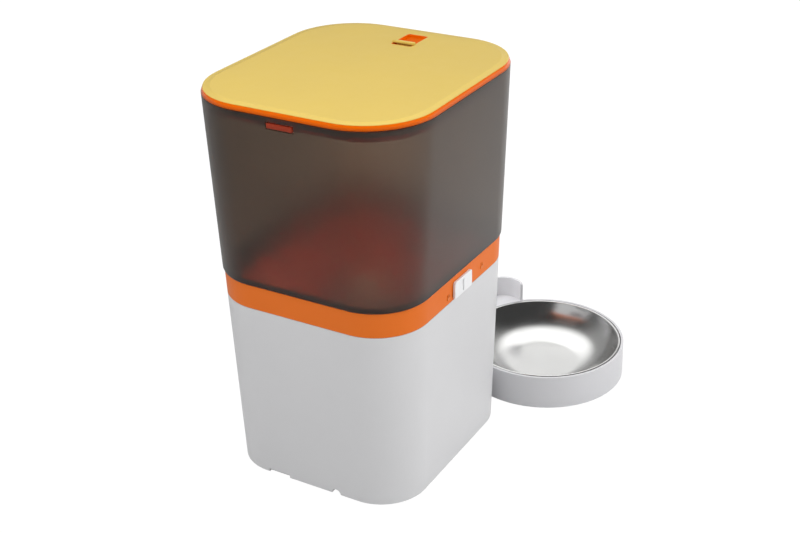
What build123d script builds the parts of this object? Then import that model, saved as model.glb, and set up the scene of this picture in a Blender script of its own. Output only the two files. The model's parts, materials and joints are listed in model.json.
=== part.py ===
from build123d import *
import os
from math import acos, atan, atan2, cos, degrees, pi, radians, sin, sqrt, tan

# Camera pet feeder: a white base with the camera and the feed drive, an orange band with a funnel,
# a smoked food tank that lifts off, a hinged lid with a finger latch, and a bowl stand beside it.
# Millimetres. +Z is up, the front with the camera and the food outlet faces -Y, and the origin is
# the centre of the base on the floor.

# Outline: rounded rectangles of one depth to width ratio, with a width and a corner at each height
plan_ratio = 1.129
base_height = 172.2
band_height = 22.7
tank_height = 160.3
lid_rim_height = 4.8
body_bottom_width = 183.6
body_bottom_corner = 43.3
body_top_width = 193.4
body_top_corner = 47.5
band_top_width = 194.8
band_top_corner = 48.3
tank_bottom_width = 197.0
tank_bottom_corner = 49.1
lid_seam_width = 211.0
lid_seam_corner = 61.2
lid_top_width = 207.2
lid_top_corner = 57.9

# Clearances, and how far a cut runs past the face that it opens
seat_gap = 0.3
side_gap = 0.3
running_gap = 0.05
cut_past = 2.0

# Base
shell_wall = 2.5
deck_thickness = 3.0
foot_height = 1.5
foot_recess = 1.0
foot_ring_width = 5.0
foot_ring_inset = 3.0
plate_thickness = 2.5
column_radius = 4.5
column_height = 38.0
rib_thickness = 2.0
column_from_side = 20.8
column_from_end = 25.6
screw_head_radius = 3.0
screw_head_height = 1.8
screw_shank_radius = 1.4
screw_length = 14.0

# Food path: well in the base, cup of the tank, rotor, outlet and chute
cup_radius = 47.0
cup_wall = 2.2
cup_depth = 26.0
cup_floor = 2.5
cup_bore_gap = 2.5
neck_height = 146.0
neck_flat = 0.5
well_side_gap = 1.5
well_floor_gap = 0.8
well_wall = 2.2
well_floor = 2.5
outlet_width = 32.0
outlet_inner_y = 24.0
outlet_outer_y = 43.0
chute_wall = 2.0
mouth_top = 86.0
mouth_bottom = 52.0
alcove_width = 64.0
alcove_springing = 60.0
alcove_back_y = 78.0
alcove_wall = 2.0

# Rotor
rotor_side_gap = 1.2
rotor_floor_gap = 0.6
hub_radius = 12.0
hub_height = 32.0
sleeve_wall = 2.0
vane_count = 6
vane_thickness = 3.0
vane_height = 22.0
portion_guard_thickness = 1.5
portion_guard_hub_gap = 2.0
portion_guard_side = 5.0
agitator_reach = 27.0
agitator_bar = 6.0
agitator_rise = 22.0
agitator_boss_radius = 10.0
agitator_boss_rise = 3.0
dog_flats = 10.0
dog_height = 12.0

# Gear motor
gear_module = 0.6
gear_teeth = 42
pinion_teeth = 14
gear_backlash = 0.22
gear_addendum = 0.85
gear_dedendum = 1.15
pressure_angle = 20.0
gear_width = 5.0
gear_rise = 2.0
gear_end_gap = 0.4
case_height = 15.0
case_wall = 1.8
case_floor = 2.0
case_gear_gap = 1.2
shaft_radius = 3.0
bush_radius = 5.0
motor_radius = 12.0
motor_length = 30.0
motor_boss_radius = 4.0
motor_boss_length = 2.0
motor_shaft_radius = 1.15
motor_shaft_sink = 4.0
motor_shaft_past = 1.0
motor_bore_depth = 5.0

# Camera and front controls
camera_drop = 33.2
window_width = 54.0
window_height = 34.0
window_corner = 9.0
window_thickness = 2.2
frame_lap = 4.0
frame_lip = 2.0
lens_radius = 8.8
lens_glass_radius = 6.4
lens_glass_depth = 3.0
lens_dome_ratio = 1.5
lens_proud = 1.4
led_radius = 2.5
led_offset = 18.0
led_sunk = 0.4
status_radius = 1.5
status_drop = 12.5
status_sunk = 0.2
front_board_depth = 8.0
front_board_thickness = 1.6
front_board_width = 50.0
front_board_height = 58.0
front_board_drop = 10.0
front_board_corner = 3.0
button_drop = 30.0
button_radius = 7.0
button_proud = 0.9
button_flange = 1.2
button_flange_lap = 1.5
button_travel = 0.8
switch_size = 6.0
switch_stem_radius = 1.7
switch_stem_height = 1.35
switch_play = 0.15

# Speaker
speaker_radius = 17.0
speaker_depth = 9.0
speaker_surround = 3.0
cone_depth = 1.5
magnet_radius = 8.5
magnet_length = 6.0
speaker_height = 78.0
speaker_y = -34.0
speaker_slots = 6
speaker_slot_pitch = 5.0
speaker_slot_width = 1.8
speaker_slot_length = 24.0

# Power: three backup cells, their box, the main board on it, and the cord's socket underneath
cell_radius = 16.5
cell_length = 61.0
cell_count = 3
cell_gap = 0.8
cell_tip_radius = 4.5
cell_tip_length = 1.5
contact_radius = 5.0
contact_length = 2.5
box_wall = 2.0
battery_from_column = 47.0
battery_from_end = 68.6
cover_lap = 3.0
board_post_height = 5.0
board_post_radius = 3.0
board_post_inset = 4.0
board_width = 62.0
board_depth = 70.0
board_thickness = 1.6
socket_from_battery = 50.0
socket_size = 12.0
socket_length = 14.0
socket_nose_radius = 4.5
socket_bore_radius = 2.75
socket_bore_depth = 9.0
socket_pin_radius = 0.95
pocket_width = 20.0
pocket_length = 34.0
pocket_height = 16.0
pocket_from_wall = 8.0
cable_notch_radius = 4.5
cable_notch_depth = 12.0
finger_notch_width = 22.0
finger_notch_height = 3.0
finger_notch_depth = 6.0
finger_notch_x = 34.5

# Band, funnel and tank
band_wall = 4.5
band_ledge = 4.0
band_ledge_thickness = 2.4
funnel_wall = 2.2
funnel_flange_thickness = 2.0
seal_height = 1.6
tank_wall = 2.5
spigot_wall = 2.2

# Tank lock on the -X side of the band
lock_y = 1.5
lock_length = 31.0
lock_height = 15.5
lock_bottom_rise = 1.8
lock_proud = 2.0
lock_corner = 2.5
lock_low_corner = 1.0
lock_grip_width = 3.0
lock_grip_proud = 1.2
lock_grip_margin = 2.5
lock_travel = 12.0
lock_neck_height = 5.0
lock_head_height = 9.0
lock_neck_depth = 1.5
lock_head_depth = 1.4
lock_foot_length = 9.0

# Lid
lid_tray_thickness = 2.4
lid_plate_border = 1.0
skirt_height = 10.0
skirt_gap = 0.8
skirt_wall = 2.0
gasket_height = 3.0
gasket_proud = 0.4
gasket_drop = 3.0
gasket_bolt_gap = 2.0
gasket_tongue_gap = 1.0
tongue_width = 24.0
tongue_thickness = 4.0
tongue_drop = 7.5
tongue_proud = 0.6
slot_gap = 1.2
case_radius = 26.0
desiccant_height = 20.0
desiccant_wall = 1.6
desiccant_y = 22.0
cap_spigot = 4.0
bag_gap = 0.5
vent_count = 12
vent_reach = 14.3
vent_length = 10.4
vent_width = 2.0

# Lid latch
latch_window_width = 18.6
latch_window_front = 101.0
latch_window_back = 70.5
ridge_front = 79.5
ridge_depth = 4.0
ridge_width = 21.6
ridge_height = 2.0
ridge_round = 0.9
stem_width = 16.4
stem_thickness = 2.5
latch_travel = 5.0
latch_bar_width = 18.0
latch_bar_thickness = 4.6
latch_bar_back = 70.0
latch_bar_setback = 4.0
bolt_width = 12.0
bolt_length = 8.0
latch_cover_thickness = 2.2
rail_width = 3.2
spring_radius = 1.9
spring_wire = 0.25
spring_turns = 5
spring_length = 9.0
spring_end_gap = 0.2
spring_stop = 2.0

# Bowl and its stand, which stands free beside the front
bowl_from_side = 2.8
bowl_from_front = 80.06
stand_radius = 81.0
stand_top_radius = 80.4
stand_height = 34.3
stand_floor = 2.5
bowl_rim_radius = 77.8
bowl_rim_height = 34.6
bowl_roll = 3.0
bowl_sheet = 0.8
bowl_flange = 2.5
bowl_floor_radius = 54.0
bowl_floor_height = 6.2
bowl_belly = 4.6
lobe_reach = 80.7
lobe_direction = -32.8
lobe_radius = 23.0
guard_top = 55.0
guard_wall = 2.5
guard_corner = 4.5
guard_lap = 1.2
pad_width = 8.0
pad_inset = 4.6
pad_proud = 1.0

lowest = (Align.CENTER, Align.CENTER, Align.MIN)

# Places that follow the body's half width and half depth on the floor
half_width = body_bottom_width / 2
half_depth = body_bottom_width * plan_ratio / 2
front_reach = max(body_bottom_width, body_top_width) * plan_ratio / 2
column_x = half_width - column_from_side
column_y = half_depth - column_from_end
battery_x = column_x - battery_from_column
battery_y = half_depth - battery_from_end
socket_x = battery_x - socket_from_battery
bowl_x = -half_width - bowl_from_side
bowl_y = -half_depth - bowl_from_front
camera_height = base_height - camera_drop
button_height = camera_height - button_drop

# Heights of the outline, each as height, width and corner radius
band_top_z = base_height + band_height
lid_seam_z = band_top_z + tank_height
lid_top_z = lid_seam_z + lid_rim_height
body_bottom = (0.0, body_bottom_width, body_bottom_corner)
body_top = (base_height, body_top_width, body_top_corner)
band_bottom = (base_height + seat_gap, body_top_width, body_top_corner)
band_top = (band_top_z, band_top_width, band_top_corner)
tank_bottom = (band_top_z, tank_bottom_width, tank_bottom_corner)
tank_top = (lid_seam_z - seat_gap, lid_seam_width, lid_seam_corner)
lid_seam = (lid_seam_z, lid_seam_width, lid_seam_corner)
lid_top = (lid_top_z, lid_top_width, lid_top_corner)

# Heights inside
deck_under_z = base_height - deck_thickness
cup_floor_top_z = neck_height - cup_depth
cup_bottom_z = cup_floor_top_z - cup_floor
well_floor_top_z = cup_bottom_z - well_floor_gap
well_under_z = well_floor_top_z - well_floor
case_bottom_z = well_under_z - case_height
plate_top_z = foot_height + plate_thickness
inside_floor_z = plate_top_z + seat_gap
ledge_top_z = band_bottom[0] + band_ledge_thickness
flange_top_z = ledge_top_z + funnel_flange_thickness
spigot_bottom_z = flange_top_z + seal_height
rotor_bottom_z = cup_floor_top_z + rotor_floor_gap
tray_top_z = lid_seam_z + lid_tray_thickness
skirt_bottom_z = lid_seam_z - skirt_height
latch_top_z = lid_seam_z - seat_gap
latch_bottom_z = latch_top_z - latch_bar_thickness
latch_cover_top_z = latch_bottom_z - seat_gap
latch_cover_bottom_z = latch_cover_top_z - latch_cover_thickness
cup_outer_radius = cup_radius + cup_wall
well_radius = cup_outer_radius + well_side_gap
well_outer_radius = well_radius + well_wall
gear_distance = (gear_teeth + pinion_teeth) * gear_module / 2
gear_bottom_z = case_bottom_z + case_floor + gear_rise
front_draft = atan((body_top_width - body_bottom_width) * plan_ratio / 2 / base_height)


def between(low, high, z):
    """The outline level at height z on the straight taper from low to high."""
    share = (z - low[0]) / (high[0] - low[0])
    return (z, low[1] + share * (high[1] - low[1]), low[2] + share * (high[2] - low[2]))


def outline(level, inset=0.0):
    """The rounded rectangle of an outline level, moved inwards by the inset."""
    z, width, corner = level
    depth = width * plan_ratio
    return Pos(0, 0, z) * RectangleRounded(width - 2 * inset, depth - 2 * inset, corner - inset)


def tapered(low, high, inset=0.0):
    """A solid between two levels of the outline."""
    return loft([outline(low, inset), outline(high, inset)], ruled=True)


def ring_wall(low, high, inset, wall):
    """A wall between two levels, its outside at the inset."""
    return tapered(low, high, inset) - tapered(low, high, inset + wall)


def disc(radius, z0, z1, x=0.0, y=0.0):
    """An upright cylinder from z0 to z1."""
    return Pos(x, y, z0) * Cylinder(radius, z1 - z0, align=lowest)


def tube(outer, inner, z0, z1, x=0.0, y=0.0):
    """An upright tube from z0 to z1."""
    return disc(outer, z0, z1, x, y) - disc(inner, z0, z1, x, y)


def block(x0, x1, y0, y1, z0, z1):
    """A box by its limits."""
    return Pos((x0 + x1) / 2, (y0 + y1) / 2, (z0 + z1) / 2) * Box(x1 - x0, y1 - y0, z1 - z0)


def along_y(sketch, y0, y1):
    """A sketch drawn in X and Z, carried from y0 to y1."""
    return Pos(0, y1, 0) * extrude(Plane.XZ * sketch, amount=y1 - y0)


def along_x(sketch, x0, x1):
    """A sketch drawn in Y and Z, carried from x0 to x1."""
    return Pos(x0, 0, 0) * extrude(Plane.YZ * sketch, amount=x1 - x0)


def screw(x, y, z, pointing=1):
    """A pan head screw whose head starts at z and whose shank points up or down."""
    head = Cylinder(screw_head_radius, screw_head_height, align=lowest)
    shank = Pos(0, 0, screw_head_height) * Cylinder(screw_shank_radius, screw_length, align=lowest)
    turned = Rot(0 if pointing > 0 else 180, 0, 0)
    return Pos(x, y, z) * turned * (head + shank)


def on_front(z, x=0.0):
    """The place on the leaning front face at height z, with its own Z axis pointing out."""
    depth = between(body_bottom, body_top, z)[1] * plan_ratio / 2
    lean = (0, -cos(front_draft), -sin(front_draft))
    return Plane(origin=(x, -depth, z), x_dir=(1, 0, 0), z_dir=lean).location


def sunk(place, sketch, start, end):
    """A sketch on a front place, carried from a start depth to an end depth below the face."""
    return place * Pos(0, 0, -end) * extrude(sketch, amount=end - start)


def corners(x, y):
    """The four points at plus and minus x and y."""
    return [(sx * x, sy * y) for sx in (-1, 1) for sy in (-1, 1)]


def arch(width, springing, grow=0.0):
    """An arch in X and Z: straight sides from the floor to the springing line, then a half circle."""
    half = width / 2 + grow
    sides = Pos(0, springing / 2) * Rectangle(2 * half, springing)
    return sides + Pos(0, springing) * Circle(half)


def outlet_cut(z0, z1):
    """The hole that food falls through, from z0 to z1."""
    half = outlet_width / 2
    return block(-half, half, -outlet_outer_y, -outlet_inner_y, z0, z1)


# Base

def base_shell():
    low = between(body_bottom, body_top, foot_height)
    under_deck = between(body_bottom, body_top, deck_under_z)
    shell = tapered(low, body_top) - tapered(low, under_deck, shell_wall)
    side = between(body_bottom, body_top, speaker_height)[1] / 2
    slot = SlotOverall(speaker_slot_length, speaker_slot_width)
    slots = Sketch() + [Pos(speaker_y, slot_z) * slot for slot_z in speaker_slot_heights()]
    shell -= along_x(slots, side - shell_wall - cut_past, side + cut_past)
    shell -= flare(0)
    for x, y in corners(column_x, column_y):
        shell += screw_column(x, y)
        hole_top = inside_floor_z + screw_length
        shell -= disc(screw_shank_radius + running_gap, inside_floor_z, hole_top, x, y)
    shell -= along_y(arch(alcove_width, alcove_springing), -front_reach, -alcove_back_y)
    window = RectangleRounded(window_width + side_gap * 2, window_height + side_gap * 2,
                              window_corner + side_gap)
    shell -= sunk(on_front(camera_height), window, -cut_past, shell_wall + cut_past)
    button_hole = Circle(button_radius + side_gap)
    shell -= sunk(on_front(button_height), button_hole, -cut_past, shell_wall + cut_past)
    cable_notch = Pos(socket_x, foot_height) * Circle(cable_notch_radius)
    shell -= along_y(cable_notch, half_depth - cable_notch_depth, half_depth + cut_past)
    notch = Pos(finger_notch_x, foot_height) * Rectangle(finger_notch_width, finger_notch_height * 2)
    return shell - along_y(notch, half_depth - finger_notch_depth, half_depth + cut_past)


def screw_column(x, y):
    """A column for a base screw, with a rib that ties it to the wall of the shell."""
    top = inside_floor_z + column_height
    rib = block(0, column_x, -rib_thickness / 2, rib_thickness / 2, inside_floor_z, top)
    outward = degrees(atan2(y, x))
    low = between(body_bottom, body_top, inside_floor_z)
    high = between(body_bottom, body_top, top)
    rib = (Pos(x, y, 0) * Rot(0, 0, outward) * rib) & tapered(low, high, shell_wall / 2)
    return disc(column_radius, inside_floor_z, top, x, y) + rib


def speaker_slot_heights():
    first = speaker_height - (speaker_slots - 1) * speaker_slot_pitch / 2
    return [first + i * speaker_slot_pitch for i in range(speaker_slots)]


def base_plate():
    low = between(body_bottom, body_top, foot_height)
    high = between(body_bottom, body_top, plate_top_z)
    plate = tapered(low, high, shell_wall + side_gap)
    ring_inset = shell_wall + foot_ring_inset - side_gap
    groove_top = between(body_bottom, body_top, foot_height + foot_recess)
    plate -= ring_wall(low, groove_top, ring_inset, foot_ring_width + 2 * side_gap)
    for x, y in corners(column_x, column_y):
        head_top = foot_height + screw_head_height + side_gap
        plate -= disc(screw_head_radius + side_gap, foot_height, head_top, x, y)
        plate -= disc(screw_shank_radius + side_gap, foot_height, plate_top_z, x, y)
    cover_x, cover_y = battery_cover_half()
    plate -= block(battery_x - cover_x - side_gap, battery_x + cover_x + side_gap,
                   battery_y - cover_y - side_gap, battery_y + cover_y + side_gap,
                   foot_height, plate_top_z)
    alcove = arch(alcove_width, alcove_springing, alcove_wall + side_gap)
    plate -= along_y(alcove, -low[1] * plan_ratio / 2, -alcove_back_y + alcove_wall + side_gap)
    half = pocket_width / 2
    outer = half + box_wall
    back = pocket_back_y()
    pocket = block(socket_x - outer, socket_x + outer, back - pocket_length - box_wall, back + box_wall,
                   plate_top_z, pocket_height + box_wall)
    plate += pocket
    plate -= block(socket_x - half, socket_x + half, back - pocket_length, back,
                   foot_height, pocket_height)
    channel_top = foot_height + cable_notch_radius
    plate -= block(socket_x - cable_notch_radius, socket_x + cable_notch_radius, back, half_depth,
                   0, channel_top)
    nose = Pos(socket_x, socket_axis_z()) * Circle(socket_nose_radius + side_gap)
    return plate - along_y(nose, back - pocket_length - box_wall, back - pocket_length)


def pocket_back_y():
    return half_depth - shell_wall - side_gap - pocket_from_wall


def socket_axis_z():
    return plate_top_z + socket_size / 2


def foot_ring():
    high = between(body_bottom, body_top, foot_height + foot_recess)
    ring = ring_wall(body_bottom, high, shell_wall + foot_ring_inset, foot_ring_width)
    half = pocket_width / 2
    ring -= block(socket_x - half, socket_x + half, pocket_back_y() - pocket_length, half_depth,
                  0, foot_height + foot_recess)
    half = alcove_width / 2 + alcove_wall + side_gap
    return ring - block(-half, half, -half_depth, -alcove_back_y, 0, foot_height + foot_recess)


def base_screws():
    return [screw(x, y, foot_height) for x, y in corners(column_x, column_y)]


def flare(grow):
    """The space of the funnel and its clearance, from the rotor's neck up to the band."""
    out = well_side_gap + grow
    mouth = outline(funnel_top(), funnel_throat() - funnel_wall - out)
    return loft([funnel_neck(funnel_wall + out), mouth], ruled=True)


def rotor_well():
    """The round well under the rotor's cup, which widens above into a dish under the funnel."""
    well = tube(well_outer_radius, well_radius, well_under_z, neck_height)
    dish = flare(well_wall) - flare(0)
    half = body_top_width
    well += dish & block(-half, half, -half, half, neck_height, deck_under_z)
    well += disc(well_outer_radius, well_under_z, well_floor_top_z)
    well -= outlet_cut(well_under_z, well_floor_top_z)
    return well - disc(bush_radius + running_gap, well_under_z, well_floor_top_z)


def chute_profile():
    mouth_y = -alcove_back_y + alcove_wall
    return Polygon((-outlet_inner_y, well_under_z), (-outlet_outer_y, well_under_z),
                   (mouth_y, mouth_top), (mouth_y, mouth_bottom), align=None)


def chute():
    half = outlet_width / 2
    outer = half + chute_wall
    grown = offset(chute_profile(), amount=chute_wall, kind=Kind.INTERSECTION)
    duct = along_x(grown, -outer, outer)
    duct &= block(-outer, outer, -alcove_back_y + alcove_wall, 0, 0, well_under_z)
    return duct - along_x(chute_profile(), -half, half)


def outlet_alcove():
    outer = arch(alcove_width, alcove_springing, alcove_wall)
    liner = along_y(outer, -front_reach, -alcove_back_y + alcove_wall)
    liner -= along_y(arch(alcove_width, alcove_springing), -front_reach, -alcove_back_y)
    low = between(body_bottom, body_top, foot_height)
    liner &= tapered(low, body_top, shell_wall + running_gap)
    mouth = Pos(0, (mouth_top + mouth_bottom) / 2) * Rectangle(outlet_width, mouth_top - mouth_bottom)
    return liner - along_y(mouth, -alcove_back_y, -alcove_back_y + alcove_wall)


# Gear motor

def gear_radii(teeth):
    pitch = teeth * gear_module / 2
    return pitch, pitch + gear_addendum * gear_module, pitch - gear_dedendum * gear_module


def gear_outline(teeth, turned=0.0):
    """An involute spur gear, its first tooth on +X before it is turned."""
    pitch, tip, root = gear_radii(teeth)
    base_circle = pitch * cos(radians(pressure_angle))
    inv = tan(radians(pressure_angle)) - radians(pressure_angle)
    half_pitch_tooth = (pi * gear_module / 2 - gear_backlash) / 2 / pitch

    def half_angle(radius):
        alpha = acos(min(1.0, base_circle / radius))
        return half_pitch_tooth + inv - (tan(alpha) - alpha)

    radii = [root, max(root + running_gap, base_circle), pitch, tip]
    points = []
    for i in range(teeth):
        middle = 2 * pi * i / teeth + turned
        for radius in radii:
            points.append((radius, middle - half_angle(max(radius, base_circle))))
        for radius in reversed(radii):
            points.append((radius, middle + half_angle(max(radius, base_circle))))
    return Polygon(*[(r * cos(a), r * sin(a)) for r, a in points], align=None)


def case_outline(grow=0.0):
    big = gear_radii(gear_teeth)[1] + case_gear_gap + grow
    small = motor_radius + grow
    return make_hull((Circle(big) + Pos(0, gear_distance) * Circle(small)).edges())


def gearbox_case():
    case = Pos(0, 0, case_bottom_z) * extrude(case_outline(case_wall), amount=case_height)
    inside = case_height - case_floor
    case -= Pos(0, 0, case_bottom_z + case_floor) * extrude(case_outline(), amount=inside)
    case += tube(bush_radius, shaft_radius + running_gap, case_bottom_z + case_floor,
                 gear_bottom_z - gear_end_gap)
    case -= disc(shaft_radius + running_gap, case_bottom_z, gear_bottom_z)
    return case - disc(motor_shaft_radius + side_gap, case_bottom_z, gear_bottom_z, 0, gear_distance)


def output_gear():
    wheel = Pos(0, 0, gear_bottom_z) * extrude(gear_outline(gear_teeth), amount=gear_width)
    return wheel - disc(shaft_radius, gear_bottom_z, gear_bottom_z + gear_width)


def drive_shaft():
    return disc(shaft_radius, case_bottom_z, well_floor_top_z + seat_gap + dog_height)


def shaft_bush():
    low = gear_bottom_z + gear_width + gear_end_gap
    return tube(bush_radius, shaft_radius + running_gap, low, well_floor_top_z)


def drive_dog():
    low = well_floor_top_z + seat_gap
    flats = RegularPolygon(dog_flats / 2, 6, major_radius=False)
    key = Pos(0, 0, low) * extrude(flats, amount=dog_height)
    return key - disc(shaft_radius, low, low + dog_height)


def motor_pinion():
    turned = pi + pi / 2 + pinion_phase()
    wheel = extrude(gear_outline(pinion_teeth, turned), amount=gear_width)
    wheel = Pos(0, gear_distance, gear_bottom_z) * wheel
    return wheel - disc(motor_shaft_radius, gear_bottom_z, gear_bottom_z + gear_width, 0, gear_distance)


def pinion_phase():
    """Turns a pinion gap to the gear tooth nearest the line of centres, which lies along +Y."""
    tooth = 2 * pi / gear_teeth
    off = (pi / 2) % tooth
    off = off if off < tooth / 2 else off - tooth
    return off * gear_teeth / pinion_teeth + pi / pinion_teeth


def motor_shaft():
    return disc(motor_shaft_radius, case_bottom_z - motor_shaft_sink,
                gear_bottom_z + gear_width + motor_shaft_past, 0, gear_distance)


def motor():
    top = case_bottom_z
    bottom = top - motor_length
    can = disc(motor_radius, bottom, top, 0, gear_distance)
    can += disc(motor_boss_radius, bottom - motor_boss_length, bottom, 0, gear_distance)
    bore = disc(motor_shaft_radius + running_gap, top - motor_bore_depth, top, 0, gear_distance)
    return can - bore


# Camera, button and speaker

def camera_window():
    holes = Circle(lens_radius + running_gap)
    for side in (-1, 1):
        holes += Pos(side * led_offset, 0) * Circle(led_radius + running_gap)
    holes += Pos(0, -status_drop) * Circle(status_radius + running_gap)
    panel = RectangleRounded(window_width, window_height, window_corner) - holes
    return sunk(on_front(camera_height), panel, 0, window_thickness)


def camera_frame():
    outer = RectangleRounded(window_width + 2 * frame_lap, window_height + 2 * frame_lap,
                             window_corner + frame_lap)
    inner = RectangleRounded(window_width - 2 * frame_lip, window_height - 2 * frame_lip,
                             window_corner - frame_lip)
    lip = RectangleRounded(window_width, window_height, window_corner)
    place = on_front(camera_height)
    frame = sunk(place, outer - inner, shell_wall, front_board_depth)
    return frame + sunk(place, lip - inner, window_thickness, shell_wall)


def lens_barrel():
    barrel = sunk(on_front(camera_height), Circle(lens_radius), -lens_proud, front_board_depth)
    bore = Circle(lens_glass_radius)
    return barrel - sunk(on_front(camera_height), bore, -lens_proud - cut_past, lens_glass_depth)


def lens_glass():
    place = on_front(camera_height)
    edge = Circle(lens_glass_radius - running_gap)
    dome_radius = lens_glass_radius * lens_dome_ratio
    rise = dome_radius - sqrt(dome_radius ** 2 - lens_glass_radius ** 2)
    dome = place * Pos(0, 0, rise - dome_radius) * Sphere(dome_radius)
    return sunk(place, edge, 0, lens_glass_depth) + (dome & sunk(place, edge, -rise, 0))


def infrared_lights():
    lights = []
    for side in (-1, 1):
        spot = Pos(side * led_offset, 0) * Circle(led_radius)
        lights.append(sunk(on_front(camera_height), spot, led_sunk, front_board_depth))
    return lights


def status_light():
    spot = Pos(0, -status_drop) * Circle(status_radius)
    return sunk(on_front(camera_height), spot, status_sunk, front_board_depth)


def front_board():
    sheet = Pos(0, -front_board_drop) * RectangleRounded(front_board_width, front_board_height,
                                                         front_board_corner)
    back = front_board_depth + front_board_thickness
    return sunk(on_front(camera_height), sheet, front_board_depth, back)


def feed_button():
    inner_face = shell_wall + side_gap
    place = on_front(button_height)
    cap = sunk(place, Circle(button_radius), -button_proud, inner_face)
    flange = Circle(button_radius + button_flange_lap)
    return cap + sunk(place, flange, inner_face, inner_face + button_flange)


def button_switch():
    stem_depth = shell_wall + side_gap + button_flange + button_travel + switch_play
    housing_depth = stem_depth + switch_stem_height
    place = on_front(button_height)
    housing = sunk(place, Rectangle(switch_size, switch_size), housing_depth, front_board_depth)
    return housing + sunk(place, Circle(switch_stem_radius), stem_depth, housing_depth)


def speaker():
    side = between(body_bottom, body_top, speaker_height - speaker_radius)[1] / 2
    face = side - shell_wall - side_gap
    back = face - speaker_depth
    middle = Pos(speaker_y, speaker_height)
    frame = along_x(middle * Circle(speaker_radius), back, face)
    frame += along_x(middle * Circle(magnet_radius), back - magnet_length, back)
    cone = middle * Circle(speaker_radius - speaker_surround)
    return frame - along_x(cone, face - cone_depth, face)


# Power

def cell_rows():
    pitch = 2 * cell_radius + cell_gap
    first = battery_y - (cell_count - 1) * pitch / 2
    return [first + i * pitch for i in range(cell_count)]


def cell_axis_z():
    return plate_top_z + seat_gap + cell_radius


def battery_box_half():
    half_x = cell_length / 2 + cell_tip_length + contact_length + box_wall
    half_y = cell_count * cell_radius + (cell_count + 1) * cell_gap / 2 + box_wall
    return half_x, half_y


def battery_cover_half():
    half_x, half_y = battery_box_half()
    return half_x - cover_lap, half_y - cover_lap


def battery_box():
    half_x, half_y = battery_box_half()
    top = cell_axis_z() + cell_radius + cell_gap + box_wall
    box = block(battery_x - half_x, battery_x + half_x, battery_y - half_y, battery_y + half_y,
                plate_top_z, top)
    box -= block(battery_x - half_x + box_wall, battery_x + half_x - box_wall,
                 battery_y - half_y + box_wall, battery_y + half_y - box_wall,
                 plate_top_z, top - box_wall)
    for x, y in board_posts():
        box += tube(board_post_radius, screw_shank_radius, top, top + board_post_height, x, y)
    return box


def board_posts():
    inset = board_post_inset
    return [(battery_x + x, battery_y + y)
            for x, y in corners(board_width / 2 - inset, board_depth / 2 - inset)]


def board_bottom_z():
    return cell_axis_z() + cell_radius + cell_gap + box_wall + board_post_height


def battery_cells():
    cells = []
    for i, y in enumerate(cell_rows()):
        way = 1 if i % 2 == 0 else -1
        cell = Rot(0, 90 * way, 0) * (Cylinder(cell_radius, cell_length)
                                      + Pos(0, 0, (cell_length + cell_tip_length) / 2)
                                      * Cylinder(cell_tip_radius, cell_tip_length))
        cells.append(Pos(battery_x, y, cell_axis_z()) * cell)
    return cells


def battery_contacts():
    contacts = []
    for y in cell_rows():
        for side in (-1, 1):
            x = battery_x + side * (cell_length / 2 + cell_tip_length + contact_length / 2)
            contact = Rot(0, 90, 0) * Cylinder(contact_radius, contact_length)
            contacts.append(Pos(x, y, cell_axis_z()) * contact)
    return contacts


def battery_cover():
    half_x, half_y = battery_cover_half()
    return block(battery_x - half_x, battery_x + half_x, battery_y - half_y, battery_y + half_y,
                 foot_height, plate_top_z)


def main_board():
    low = board_bottom_z()
    return block(battery_x - board_width / 2, battery_x + board_width / 2,
                 battery_y - board_depth / 2, battery_y + board_depth / 2, low, low + board_thickness)


def board_chips():
    """The chips on the main board, each as its place on the board, width, depth and height."""
    low = board_bottom_z() + board_thickness
    chips = [(-12, -16, 14, 14, 1.6), (10, -18, 10, 12, 1.2),
             (-14, 8, 8, 20, 2.0), (14, 20, 16, 10, 3.0)]
    return [Pos(battery_x + x, battery_y + y, low) * Box(width, depth, height, align=lowest)
            for x, y, width, depth, height in chips]


def power_socket():
    front = pocket_back_y() - pocket_length - box_wall
    mouth = front + box_wall
    bore_end = mouth - socket_bore_depth
    axis = Pos(socket_x, socket_axis_z())
    half = socket_size / 2
    body = block(socket_x - half, socket_x + half, front - socket_length, front,
                 plate_top_z, plate_top_z + socket_size)
    body += along_y(axis * Circle(socket_nose_radius), front, mouth)
    body -= along_y(axis * Circle(socket_bore_radius), bore_end, mouth)
    return body + along_y(axis * Circle(socket_pin_radius), bore_end, front)


# Band, funnel and tank

def band():
    ring = ring_wall(band_bottom, band_top, 0, band_wall)
    ledge_level = between(band_bottom, band_top, ledge_top_z)
    ring += ring_wall(band_bottom, ledge_level, band_wall / 2, band_wall / 2 + band_ledge)
    return ring - lock_foot(lock_foot_y() - lock_travel, lock_foot_y(), side_gap)


def band_side_x():
    """Half width of the band's outside at the lock's bottom edge."""
    return between(band_bottom, band_top, lock_bottom_z())[1] / 2


def lock_bottom_z():
    return band_bottom[0] + lock_bottom_rise


def lock_foot_y():
    return lock_y - lock_foot_length / 2


def lock_foot(y_low, y_high, grow):
    """The foot that holds the lock in its groove, or with room to slide, the groove."""
    middle = lock_bottom_z() + lock_height / 2
    start = lock_face_x()
    y0 = y_low - grow
    y1 = y_high + lock_foot_length + grow
    neck = block(-start, -start + lock_neck_depth + side_gap + grow, y0, y1,
                 middle - lock_neck_height / 2 - grow, middle + lock_neck_height / 2 + grow)
    head_x = -start + lock_neck_depth + side_gap
    head = block(head_x - grow, head_x + lock_head_depth + grow, y0, y1,
                 middle - lock_head_height / 2 - grow, middle + lock_head_height / 2 + grow)
    return neck + head


def lock_face_x():
    """Half width at the lock's inner face, just outside the band over the lock's whole height."""
    high = between(band_bottom, band_top, lock_bottom_z() + lock_height)[1] / 2
    return max(high, band_side_x()) + side_gap


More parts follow.
